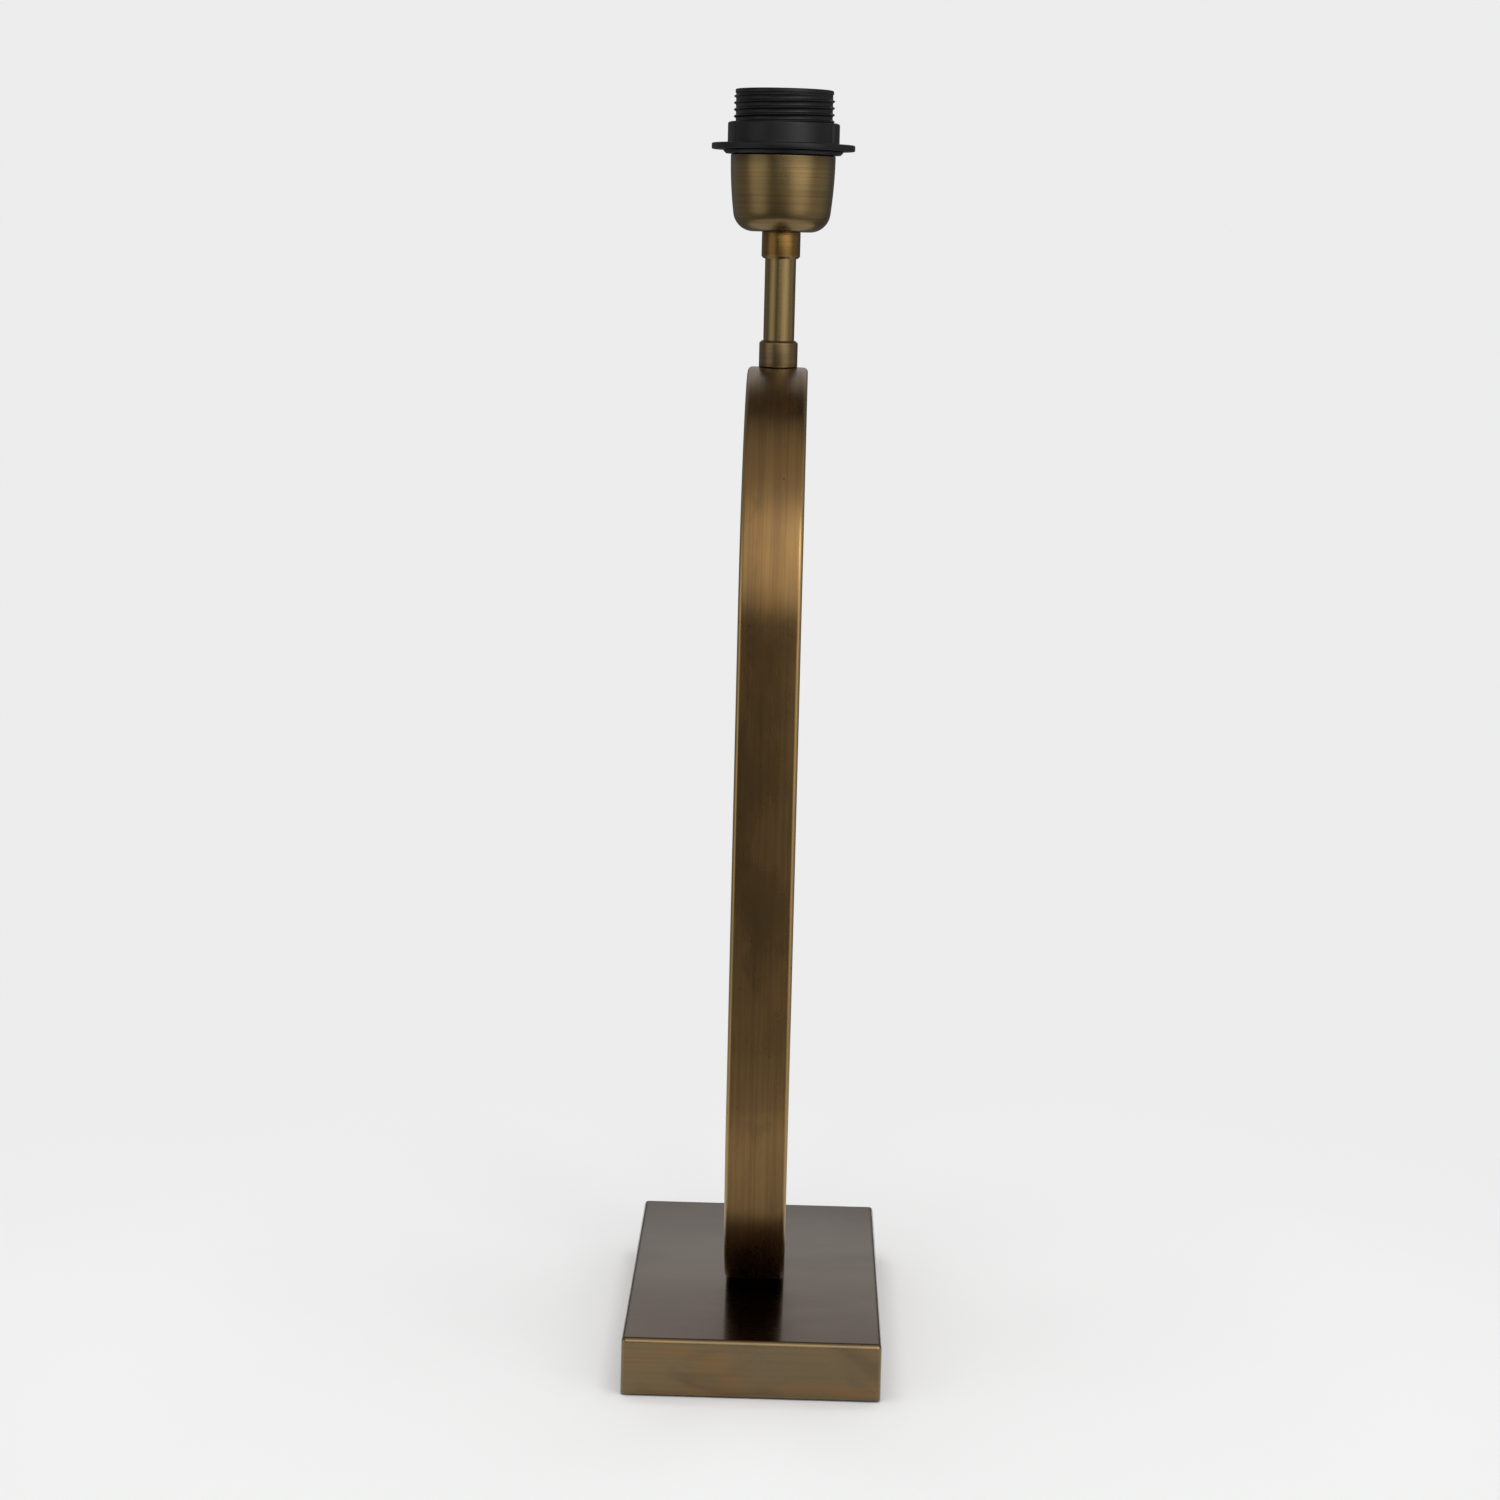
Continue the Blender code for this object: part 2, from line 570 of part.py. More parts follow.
def make_loop(mats, parent):
    """The bent rectangular tube, with a hole in its foot and one in its head for the wires."""
    x = BAND_WIDTH / 2
    out = BAND_THICKNESS / 2
    outside = [(x, -out, BAND_EDGE), (x, out, BAND_EDGE), (-x, out, BAND_EDGE), (-x, -out, BAND_EDGE)]
    inside = [(x - BAND_WALL, BAND_WALL - out), (x - BAND_WALL, out - BAND_WALL),
              (BAND_WALL - x, out - BAND_WALL), (BAND_WALL - x, BAND_WALL - out)]
    bm = bmesh.new()
    sweep_loop(bm, inside)
    bmesh.ops.recalc_face_normals(bm, faces=bm.faces)
    bmesh.ops.reverse_faces(bm, faces=bm.faces)
    bore = set(bm.faces)
    sweep_loop(bm, filleted(outside, 2))
    bmesh.ops.recalc_face_normals(bm, faces=[face for face in bm.faces if face not in bore])
    loop = add("loop_tube", bm, mats["brass"], parent=parent, outward=False)
    deep = BAND_WALL + nut_sagitta + OVERRUN
    cut(loop, rod_tool("cut_loop_foot", tube_hole, loop_bottom - OVERRUN, loop_bottom + deep,
                       steps=SLIM_STEPS))
    cut(loop, rod_tool("cut_loop_head", tube_hole, loop_top - deep, loop_top + OVERRUN, steps=SLIM_STEPS))
    hex_nut("loop_foot_nut", mats["steel"], foot_nut_bottom, NUT_HEIGHT, parent)
    hex_nut("loop_head_nut", mats["steel"], head_nut_bottom, NUT_HEIGHT, parent)
    return loop


def make_stem(mats, parent):
    """The stem tube between its two collars, on the long threaded tube."""
    bore = STEM_RADIUS + GAP
    land = COLLAR_RADIUS - COLLAR_CHAMFER
    collar = [(tube_hole, 0), (COLLAR_RADIUS, 0), (COLLAR_RADIUS, COLLAR_HEIGHT - COLLAR_CHAMFER),
              (land, COLLAR_HEIGHT), (bore, COLLAR_HEIGHT), (bore, COLLAR_HEIGHT - COLLAR_SEAT),
              (tube_hole, COLLAR_HEIGHT - COLLAR_SEAT)]
    turned("lower_collar", collar, mats["brass"], (0, 0, lower_collar_bottom), parent, SLIM_STEPS)
    flipped = [(radius, COLLAR_HEIGHT - height) for radius, height in reversed(collar)]
    turned("upper_collar", flipped, mats["brass"], (0, 0, upper_collar_bottom), parent, SLIM_STEPS)
    length = stem_top - stem_bottom
    turned("stem_tube", [(tube_hole, 0), (STEM_RADIUS, 0), (STEM_RADIUS, length), (tube_hole, length)],
           mats["brass"], (0, 0, stem_bottom), parent, SLIM_STEPS)
    threaded_tube("stem_threaded_tube", mats["steel"], head_nut_bottom, cap_floor - CAP_WALL, parent)


def cup_side(share):
    """A point of the cup's outer side, from the corner at 0 to the rim at 1."""
    return (CUP_RIM_RADIUS - CUP_FLARE * (1 - share) ** 2, CUP_CORNER + (CUP_HEIGHT - CUP_CORNER) * share)


def make_cup(mats, parent):
    """The spun brass cup round the lampholder's cap, clamped by a washer and a nut."""
    waist = CUP_RIM_RADIUS - CUP_FLARE
    middle_radius, middle_height = cup_side(CUP_SIDE_SHARES[1])
    corners = [(tube_hole, 0, 0), (waist, 0, CUP_CORNER)]
    corners += [(*cup_side(share), 0) for share in CUP_SIDE_SHARES]
    corners += [(CUP_RIM_RADIUS, CUP_HEIGHT, CUP_EDGE), (CUP_RIM_RADIUS - CUP_WALL, CUP_HEIGHT, 0),
                (middle_radius - CUP_WALL, middle_height, 0),
                (waist - CUP_WALL, CUP_WALL, CUP_CORNER - 2 * CUP_WALL), (tube_hole, CUP_WALL, 0)]
    turned("holder_cup", filleted(corners), mats["brass"], (0, 0, cup_bottom), parent)
    washer("cup_washer", mats["steel"], cup_washer_bottom, WASHER_RADIUS, parent)
    hex_nut("cup_nut", mats["steel"], cup_nut_bottom, CUP_NUT_HEIGHT, parent)


def make_cap(mats, parent):
    """The lampholder's cap: a threaded neck, a dome and a rim that the barrel screws on."""
    neck = CAP_NECK_HEIGHT
    seat = skirt_bottom - GAP - cap_bottom
    rim = insert_top - cap_bottom
    ledge = insert_bottom - GAP - cap_bottom
    floor = cap_floor - cap_bottom
    corners = [(tube_hole, 0, 0), (CAP_NECK_RADIUS, 0, 0), (CAP_NECK_RADIUS, neck, 0),
               (CAP_RADIUS, neck, CAP_DOME_ROUND), (CAP_RADIUS, seat, 0), (CAP_RIM_RADIUS, seat, 0),
               (CAP_RIM_RADIUS, rim, 0), (cap_rim_bore, rim, 0), (cap_rim_bore, ledge, 0),
               (cap_rim_bore - CAP_WALL, ledge, 0), (cap_rim_bore - CAP_WALL, floor, 0),
               (tube_hole, floor, 0)]
    return turned("holder_cap", filleted(corners), mats["plastic"], (0, 0, cap_bottom), parent, SLIM_STEPS)


def make_insert(mats, parent):
    """The insulating insert with its wire holes, terminal screws and rivet holes."""
    outline = [(insert_radius, 0), (insert_radius, INSERT_HEIGHT)]
    insert = turned("holder_insert", outline, mats["insulator"], (0, 0, insert_bottom), parent,
                    SLIM_STEPS, capped=True)
    low = -OVERRUN
    for i, side in enumerate((-1, 1), 1):
        x = side * HOLDER_WIRE_SPREAD
        cut(insert, rod_tool(f"cut_insert_wire_{i}", wire_hole, low, HOLDER_WIRE_DEPTH + GAP,
                             (x, 0, insert_bottom)))
        y = side * HOLDER_SCREW_OFFSET
        cut(insert, rod_tool(f"cut_insert_screw_{i}", TERMINAL_SCREW_RADIUS + GAP, low,
                             TERMINAL_SCREW_LENGTH + GAP, (x, y, insert_bottom)))
        slotted_screw(f"holder_terminal_screw_{i}", mats["contact"], TERMINAL_SCREW_RADIUS,
                      TERMINAL_SCREW_LENGTH, TERMINAL_HEAD_RADIUS, TERMINAL_HEAD_HEIGHT,
                      (x, y, insert_bottom - GAP), parent, f"cut_holder_screw_slot_{i}")
    for name, x in (("centre", centre_rivet_x), ("side", side_rivet_x)):
        cut(insert, rod_tool(f"cut_insert_{name}_rivet", RIVET_RADIUS + GAP, low, INSERT_HEIGHT + OVERRUN,
                             (x, 0, insert_bottom)))
        make_rivet(f"{name}_rivet", mats["contact"], x, parent)
    return insert


def make_rivet(name, mat, x, parent):
    """A rivet through the insert, with one head on the contact's foot and one underneath."""
    length = INSERT_HEIGHT + GAP + CONTACT_THICKNESS + GAP
    outline = [(RIVET_HEAD_RADIUS, -RIVET_HEAD_HEIGHT - GAP), (RIVET_HEAD_RADIUS, -GAP),
               (RIVET_RADIUS, -GAP), (RIVET_RADIUS, length), (RIVET_HEAD_RADIUS, length),
               (RIVET_HEAD_RADIUS, length + RIVET_HEAD_HEIGHT)]
    return turned(name, outline, mat, (x, 0, insert_bottom), parent, SMALL_STEPS, capped=True)


def bent_strip(name, mat, line, at, parent):
    """A springy strip along a bent line of (x, z) points, with its origin on its bend."""
    points = [Vector(spot) for spot in line]
    sides = []
    for i, here in enumerate(points):
        before = here - points[i - 1] if i else points[1] - here
        after = points[i + 1] - here if i + 1 < len(points) else before
        along = (before.normalized() + after.normalized()).normalized()
        mitre = along.dot(after.normalized())
        normal = Vector((-along.y, along.x)) * CONTACT_THICKNESS / 2 / mitre
        sides.append((here + normal, here - normal))
    outline = [upper for upper, lower in sides] + [lower for upper, lower in reversed(sides)]
    bm = bmesh.new()
    half = CONTACT_WIDTH / 2
    near = [bm.verts.new((x, -half, z)) for x, z in outline]
    far = [bm.verts.new((x, half, z)) for x, z in outline]
    wall(bm, near, far)
    last = len(points) * 2 - 1
    for ring in (near, far):
        for i in range(len(points) - 1):
            bm.faces.new((ring[i], ring[i + 1], ring[last - i - 1], ring[last - i]))
    return add(name, bm, mat, at, parent)


def make_contacts(mats, parent):
    """The centre tongue and the side tongue, each with its foot under a rivet."""
    level = insert_top + GAP + CONTACT_THICKNESS / 2
    centre_line = [(-CONTACT_FOOT, 0), (0, 0), (CENTRE_TIP_START - CENTRE_BEND_X, CENTRE_RISE),
                   (CENTRE_TIP_END - CENTRE_BEND_X, CENTRE_RISE)]
    centre = bent_strip("centre_contact", mats["contact"], centre_line, (CENTRE_BEND_X, 0, level), parent)
    side_line = [(-CONTACT_FOOT, 0), (0, 0), (-SIDE_LEAN, SIDE_RISE)]
    side = bent_strip("side_contact", mats["contact"], side_line, (SIDE_BEND_X, 0, level), parent)
    reach = CONTACT_THICKNESS
    for contact, name, x in ((centre, "centre", centre_rivet_x), (side, "side", side_rivet_x)):
        cut(contact, rod_tool(f"cut_{name}_foot", RIVET_RADIUS + GAP, -reach, reach, (x, 0, level)))


def threaded_wall(bm, lower, upper, low, high, radius, pitch, depth, shares):
    """Joins two level rings by a wall with a helical thread that fades out at both ends.
    shares lists (share of the pitch, share of the depth) up one pitch."""
    steps = len(lower)
    turns = int((high - low) / pitch - 2 * THREAD_END_SHARE) - 1
    count = turns * steps
    start = high - pitch * (turns + 1 + THREAD_END_SHARE)

    def spot(k, rise, height):
        fade = min(1, 2 * k / steps, 2 * (count - k) / steps)
        angle = TAU * k / steps
        reach = radius + depth * height * fade
        return bm.verts.new((reach * math.cos(angle), reach * math.sin(angle),
                             start + pitch * (k / steps + rise)))
    rows = [[spot(k, rise, height) for k in range(count + 1)] for rise, height in shares]
    last_turn = [spot(k, 1, shares[0][1]) for k in range(count - steps + 1, count + 1)]
    rows.append(rows[0][steps:] + last_turn)
    for row, row_above in zip(rows, rows[1:]):
        for k in range(count):
            bm.faces.new((row[k], row[k + 1], row_above[k + 1], row_above[k]))
    top = rows[-1][count - steps:]
    for i in range(steps - 1):
        bm.faces.new((lower[i], lower[i + 1], rows[0][i + 1], rows[0][i]))
        bm.faces.new((top[i + 1], top[i + 2], upper[(i + 2) % steps], upper[i + 1]))
    start_seam = [row[0] for row in rows[:-1]]
    bm.faces.new([lower[-1], lower[0], *start_seam, rows[0][steps], rows[0][steps - 1]])
    end_seam = [row[count] for row in reversed(rows[1:])]
    bm.faces.new([top[0], top[1], upper[1], upper[0], *end_seam])


def make_barrel(mats, parent):
    """The black barrel: a skirt, a shoulder, the outer thread and, inside, the lamp thread."""
    low = skirt_bottom
    lead = barrel_root + BARREL_LEAD_PROUD
    foot = shoulder_bottom - low
    seat = shoulder_top - low
    top = barrel_top - low
    thread_end = top - BARREL_LEAD
    sleeve_bottom = insert_top + GAP - low
    gap_top = top - BARREL_RIM
    lamp_low = sleeve_bottom + LAMP_THREAD_START
    lamp_high = top - MOUTH_DEPTH
    outside = [(CAP_RADIUS, 0), (CAP_RADIUS, foot), (SHOULDER_RADIUS - SHOULDER_CHAMFER, foot),
               (SHOULDER_RADIUS, foot + SHOULDER_CHAMFER), (SHOULDER_RADIUS, seat), (barrel_root, seat)]
    mouth = [(barrel_root, thread_end), (lead, thread_end + BARREL_LEAD_PROUD),
             (lead, top - BARREL_EDGE), (lead - BARREL_EDGE, top), (MOUTH_RADIUS, top),
             (LAMP_MINOR_RADIUS, lamp_high)]
    inside = [(LAMP_MINOR_RADIUS, lamp_low), (LAMP_MINOR_RADIUS, sleeve_bottom),
              (SLEEVE_RADIUS, sleeve_bottom), (SLEEVE_RADIUS, gap_top), (skirt_bore, gap_top),
              (skirt_bore, 0)]
    bm = bmesh.new()
    angles = even_angles(THREAD_STEPS)
    runs = [[level_ring(bm, r, z, angles) for r, z in run] for run in (outside, mouth, inside)]
    for run in runs:
        for lower, upper in zip(run, run[1:]):
            wall(bm, lower, upper)
    wall(bm, runs[2][-1], runs[0][0])
    threaded_wall(bm, runs[0][-1], runs[1][0], seat, thread_end, barrel_root, BARREL_PITCH,
                  BARREL_THREAD_DEPTH, BARREL_THREAD_SHARES)
    threaded_wall(bm, runs[2][0], runs[1][-1], lamp_low, lamp_high, LAMP_MINOR_RADIUS, LAMP_PITCH,
                  LAMP_THREAD_DEPTH, LAMP_THREAD_SHARES)
    return add("holder_barrel", bm, mats["plastic"], (0, 0, low), parent)


def lug_angles():
    """Angles round the shade ring, each with True on a grip lug and False in a flute."""
    spots = []
    pitch = TAU / LUG_COUNT
    flute = pitch - 2 * (LUG_HALF_ANGLE + LUG_FLANK_ANGLE)
    for lug in range(LUG_COUNT):
        middle = pitch * lug
        for step in range(LUG_STEPS + 1):
            spots.append((middle - LUG_HALF_ANGLE + 2 * LUG_HALF_ANGLE * step / LUG_STEPS, True))
        for step in range(FLUTE_STEPS + 1):
            angle = middle + LUG_HALF_ANGLE + LUG_FLANK_ANGLE + flute * step / FLUTE_STEPS
            spots.append((angle, False))
    return spots


def make_shade_ring(mats, parent):
    """The shade ring: a clear bore, a flange with a recess for the shoulder, and grip lugs."""
    spots = lug_angles()
    on_lug = dict(spots)
    corners = [(ring_bore, RING_RECESS, 0), (ring_recess_radius, RING_RECESS, 0),
               (ring_recess_radius, 0, 0), (FLANGE_RADIUS, 0, FLANGE_EDGE),
               (FLANGE_RADIUS, FLANGE_THICKNESS, FLANGE_EDGE),
               (ring_radius, FLANGE_THICKNESS, RING_FILLET), (ring_radius, RING_HEIGHT, RING_FILLET),
               (ring_bore, RING_HEIGHT, 0)]
    bm = bmesh.new()
    rings = []
    for radius, height in filleted(corners, 2):
        grows = height >= FLANGE_THICKNESS and ring_bore < radius < FLANGE_RADIUS - 2 * FLANGE_EDGE
        lug = RING_LUG if grows else 0
        rings.append(level_ring(bm, lambda a: radius + (lug if on_lug[a] else 0), height,
                                [angle for angle, _ in spots]))
    for lower, upper in zip(rings, rings[1:] + rings[:1]):
        wall(bm, lower, upper)
    return add("shade_ring", bm, mats["plastic"], (0, 0, shade_ring_bottom), parent)


def smooth_route(places):
    """Points on a smooth curve through places of (spot, steps), steps to the stretch before each."""
    spots = [spot for spot, _ in places]
    ways = []
    for i, here in enumerate(spots):
        before = here - spots[i - 1] if i else spots[1] - here
        after = spots[i + 1] - here if i + 1 < len(spots) else before
        ways.append((before + after).normalized())
    points = [spots[0]]
    for i in range(1, len(spots)):
        here, there, steps = spots[i - 1], spots[i], places[i][1]
        reach = (there - here).length * HANDLE_SHARE
        handles = (here + ways[i - 1] * reach, there - ways[i] * reach)
        points += interpolate_bezier(here, *handles, there, steps + 1)[1:]
    return points


def wire_places(side):
    """The way of one inner wire: terminal block, base tube, back of the loop, stem, insert."""
    near = side * WIRE_SPACING / 2
    wide = side * BLOCK_PITCH / 2
    spread = side * HOLDER_WIRE_SPREAD
    under = (weight_bottom + base_tube_bottom) / 2
    slack = BAND_THICKNESS / 2 - BAND_WALL - wire_hole
    fan = (cap_floor + insert_bottom) / 2
    base = [(wide, BLOCK_FRONT + BLOCK_DEPTH / 2, block_bore_height), (wide, BLOCK_FRONT, block_bore_height),
            ((near + wide) / 2, (BLOCK_FRONT + TUBE_RADIUS) / 2, under), (near, TUBE_RADIUS, under),
            (near, 0, under + TUBE_RADIUS), (near, 0, foot_nut_top - WIRE_RADIUS)]
    head = [(near, 0, head_nut_bottom + WIRE_RADIUS), (near, 0, cap_floor - CAP_WALL),
            ((near + spread) / 2, 0, fan), (spread, 0, insert_bottom),
            (spread, 0, insert_bottom + HOLDER_WIRE_DEPTH)]
    turn = [(angle, -slack * share) for angle, share in zip(WIRE_TURN_ANGLES, WIRE_TURN_SHARES)]
    lower = [loop_spot(near, out, angle - TAU / 4, lower_bend) for angle, out in turn]
    upper = [loop_spot(near, out, TAU / 4 - angle, upper_bend) for angle, out in reversed(turn)]
    sweep = TAU / 4 - WIRE_TURN_ANGLES[1]
    bends = [sweep * (1 - step / WIRE_BEND_SPOTS) for step in range(1, WIRE_BEND_SPOTS + 1)]
    rise = [loop_spot(near, 0, -angle, lower_bend) for angle in bends]
    rise += [loop_spot(near, 0, angle, upper_bend) for angle in reversed(bends)]
    places = [(Vector(spot), WIRE_TURN_STEPS) for spot in base]
    places += [(spot, WIRE_TURN_STEPS) for spot in lower]
    places += [(spot, WIRE_STEPS) for spot in rise]
    places += [(spot, WIRE_TURN_STEPS) for spot in upper]
    places += [(Vector(spot), WIRE_TURN_STEPS) for spot in head]
    return places


def make_wires(mats, parent):
    """Two insulated wires from the terminal block to the lampholder."""
    for name, side in (("brown_wire", -1), ("blue_wire", 1)):
        points = smooth_route(wire_places(side))
        bm = bmesh.new()
        rings = []
        across = Vector((1, 0, 0))
        for i, here in enumerate(points):
            along = (points[min(i + 1, len(points) - 1)] - points[max(i - 1, 0)]).normalized()
            across = (across - along * across.dot(along)).normalized()
            up = along.cross(across)
            rings.append([bm.verts.new(here + WIRE_RADIUS * (across * math.cos(a) + up * math.sin(a)))
                          for a in even_angles(WIRE_SIDES)])
        for lower, upper in zip(rings, rings[1:]):
            wall(bm, lower, upper)
        bm.faces.new(rings[0])
        bm.faces.new(rings[-1])
        add(name, bm, mats[name], parent=parent)


def make_materials():
    return {
        "brass": paint("antique_brass", (0.20, 0.13, 0.055), 0.30, 1.0),
        "plastic": paint("black_plastic", (0.018, 0.018, 0.020), 0.42, 0.0),
        "insulator": paint("insulator", (0.62, 0.60, 0.55), 0.50, 0.0),
        "contact": paint("contact_brass", (0.62, 0.46, 0.20), 0.30, 1.0),
        "steel": paint("zinc_steel", (0.48, 0.48, 0.47), 0.38, 1.0),
        "iron": paint("cast_iron", (0.07, 0.07, 0.075), 0.75, 0.6),
        "felt": paint("black_felt", (0.025, 0.025, 0.028), 0.95, 0.0),
        "rubber": paint("black_rubber", (0.020, 0.020, 0.022), 0.65, 0.0),
        "brown_wire": paint("brown_insulation", (0.12, 0.045, 0.02), 0.45, 0.0),
        "blue_wire": paint("blue_insulation", (0.02, 0.09, 0.30), 0.45, 0.0),
    }


def main():
    clear_scene()
    mats = make_materials()
    base = group("base_assembly")
    loop = group("loop_assembly")
    holder = group("lampholder_assembly")
    make_base_shell(mats, base)
    make_base_weight(mats, base)
    make_underside(mats, base)
    make_base_fixing(mats, base)
    make_terminal_block(mats, base)
    make_gland(mats, base)
    make_loop(mats, loop)
    make_stem(mats, loop)
    make_cup(mats, holder)
    make_cap(mats, holder)
    make_insert(mats, holder)
    make_contacts(mats, holder)
    make_barrel(mats, holder)
    make_shade_ring(mats, holder)
    make_wires(mats, loop)


main()
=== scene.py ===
# The looks of the table lamp foot, in metres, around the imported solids.
import bmesh
import bpy
import json
import math
from mathutils import Matrix, Vector


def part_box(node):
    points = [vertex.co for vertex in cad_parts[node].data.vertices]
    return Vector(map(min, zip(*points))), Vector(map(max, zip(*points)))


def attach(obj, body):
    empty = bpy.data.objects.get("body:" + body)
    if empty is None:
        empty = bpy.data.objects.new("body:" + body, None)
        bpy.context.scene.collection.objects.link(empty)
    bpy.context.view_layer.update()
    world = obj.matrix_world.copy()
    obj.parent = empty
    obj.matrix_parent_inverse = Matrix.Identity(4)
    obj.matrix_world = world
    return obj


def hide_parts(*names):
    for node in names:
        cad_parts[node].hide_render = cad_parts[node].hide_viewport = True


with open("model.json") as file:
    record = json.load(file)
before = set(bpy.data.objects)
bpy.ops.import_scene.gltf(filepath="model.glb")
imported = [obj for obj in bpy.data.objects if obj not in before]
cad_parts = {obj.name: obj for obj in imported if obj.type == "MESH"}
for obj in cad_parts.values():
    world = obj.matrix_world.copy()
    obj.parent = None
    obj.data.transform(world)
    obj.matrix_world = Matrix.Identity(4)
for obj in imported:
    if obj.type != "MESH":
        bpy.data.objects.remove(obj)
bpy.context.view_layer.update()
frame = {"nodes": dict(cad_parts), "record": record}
nodes = frame["nodes"]
mm = 0.001
touching = 0.01 * mm  # points nearer than this are one point
fullTurn = 2 * math.pi
origin = (0, 0, 0)


# A bmesh becomes an object in the scene.
def placeMesh(name, bm):
    mesh = bpy.data.meshes.new(name)
    bm.to_mesh(mesh)
    bm.free()
    placed = bpy.data.objects.new(name, mesh)
    bpy.context.scene.collection.objects.link(placed)
    return placed


# A bmesh becomes a named piece that rides on a body and stands for a node.
def finishPiece(name, bm, mat, node, body="lamp", sharp=40):
    bmesh.ops.remove_doubles(bm, verts=bm.verts, dist=touching)
    bmesh.ops.recalc_face_normals(bm, faces=bm.faces)
    piece = placeMesh(name, bm)
    piece.data.shade_smooth()
    piece.data.set_sharp_from_angle(angle=math.radians(sharp))
    piece.data.materials.append(mat)
    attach(piece, body)
    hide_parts(node)
    return piece


# Turns an outline of (radius, height) points about the Z axis.
def spinOutline(bm, outline, steps, closed=True):
    points = [bm.verts.new((radius, 0, height)) for radius, height in outline]
    pairs = list(zip(points, points[1:]))
    if closed:
        pairs.append((points[-1], points[0]))
    edges = [bm.edges.new(pair) for pair in pairs]
    bmesh.ops.spin(bm, geom=points + edges, axis=(0, 0, 1), cent=origin, angle=fullTurn,
                   steps=steps, use_merge=True, use_duplicate=False)


# Outline points through corners (radius, height, rounding), each rounded by its own amount
def roundedOutline(corners, steps=4):
    points = []
    for i, (radius, height, rounding) in enumerate(corners):
        if not rounding:
            points.append((radius, height))
            continue
        here = Vector((radius, height))
        before = (Vector(corners[i - 1][:2]) - here).normalized()
        after = (Vector(corners[(i + 1) % len(corners)][:2]) - here).normalized()
        half = before.angle(after) / 2
        centre = here + (before + after).normalized() * rounding / math.sin(half)
        first = here + before * rounding / math.tan(half) - centre
        last = here + after * rounding / math.tan(half) - centre
        for step in range(steps + 1):
            points.append(tuple(centre + rounding * first.slerp(last, step / steps).normalized()))
    return points


# Each part once, in the order in which they come
def eachOnce(parts):
    return list(dict.fromkeys(parts))


# Extrudes an open rim where it is: its new points and edges.
def extrudeRim(bm, rim):
    grown = bmesh.ops.extrude_edge_only(bm, edges=rim)["geom"]
    points = [part for part in grown if isinstance(part, bmesh.types.BMVert)]
    edges = [part for part in grown if isinstance(part, bmesh.types.BMEdge)]
    return points, [edge for edge in edges if set(points).issuperset(edge.verts)]


print("camera and stage")
photo = {"size": 1500, "focalLength": 3220}  # in pixels
view = {
    "place": (0.0111, -1.2767, 0.4405),
    "yaw": math.radians(0.855),
    "pitch": math.radians(7.945),  # down from level
    "roll": math.radians(1.389),
    "shift": -0.04,
    "sensor": 36,
}


def makeCamera():
    lens = bpy.data.cameras.new("photoCamera")
    lens.sensor_width = view["sensor"]
    lens.lens = view["sensor"] * photo["focalLength"] / photo["size"]
    lens.shift_y = view["shift"]
    camera = bpy.data.objects.new("photoCamera", lens)
    bpy.context.scene.collection.objects.link(camera)
    yaw = Matrix.Rotation(view["yaw"], 4, "Z")
    tilt = Matrix.Rotation(math.pi / 2 - view["pitch"], 4, "X")
    roll = Matrix.Rotation(view["roll"], 4, "Z")
    camera.matrix_world = Matrix.Translation(view["place"]) @ yaw @ tilt @ roll
    bpy.context.scene.camera = camera


# Small helpers for node trees; a socket takes a plain value or a link from another socket.
def plug(tree, socket, value):
    if isinstance(value, bpy.types.NodeSocket):
        tree.links.new(value, socket)
    else:
        socket.default_value = value


def addNode(tree, kind, **values):
    node = tree.nodes.new(kind)
    for key, value in values.items():
        setattr(node, key, value)
    return node


def feed(tree, node, **inputs):
    for key, value in inputs.items():
        plug(tree, node.inputs[key if key in node.inputs else key.replace("_", " ")], value)
    return node


def arithmetic(tree, operation, *values):
    node = addNode(tree, "ShaderNodeMath", operation=operation)
    for socket, value in zip(node.inputs, values):
        plug(tree, socket, value)
    return node.outputs[0]


def times(tree, a, b):
    return arithmetic(tree, "MULTIPLY", a, b)


# The mean of two values, with the first one's share given
def blend(tree, a, b, share):
    return arithmetic(tree, "ADD", times(tree, a, share), times(tree, b, 1 - share))


def vectorMath(tree, operation, *vectors):
    node = addNode(tree, "ShaderNodeVectorMath", operation=operation)
    for socket, vector in zip(node.inputs, vectors):
        plug(tree, socket, vector)
    return node.outputs["Value" if operation in ("LENGTH", "DOT_PRODUCT") else "Vector"]


def mixColour(tree, factor, a, b):
    node = addNode(tree, "ShaderNodeMix", data_type="RGBA")
    for place, value in ((0, factor), (6, a), (7, b)):
        plug(tree, node.inputs[place], value)
    return node.outputs[2]


def softStep(tree, value, low, high, out=(0, 1)):
    node = addNode(tree, "ShaderNodeMapRange", interpolation_type="SMOOTHSTEP")
    feed(tree, node, Value=value, From_Min=low, From_Max=high, To_Min=out[0], To_Max=out[1])
    return node.outputs["Result"]


def split(tree, vector):
    return feed(tree, addNode(tree, "ShaderNodeSeparateXYZ"), Vector=vector).outputs


def objectVector(tree):
    return addNode(tree, "ShaderNodeTexCoord").outputs["Object"]


def surfaceNormal(tree):
    return addNode(tree, "ShaderNodeNewGeometry").outputs["Normal"]


stage = {
    "pale": (0.845, 0.845, 0.845, 1),
    "worldLight": 0.42,
    "floorRadius": 0.50,
    "floorSides": 96,
    "floorFadeStart": 0.26,
    "floorFadeEnd": 0.46,
}


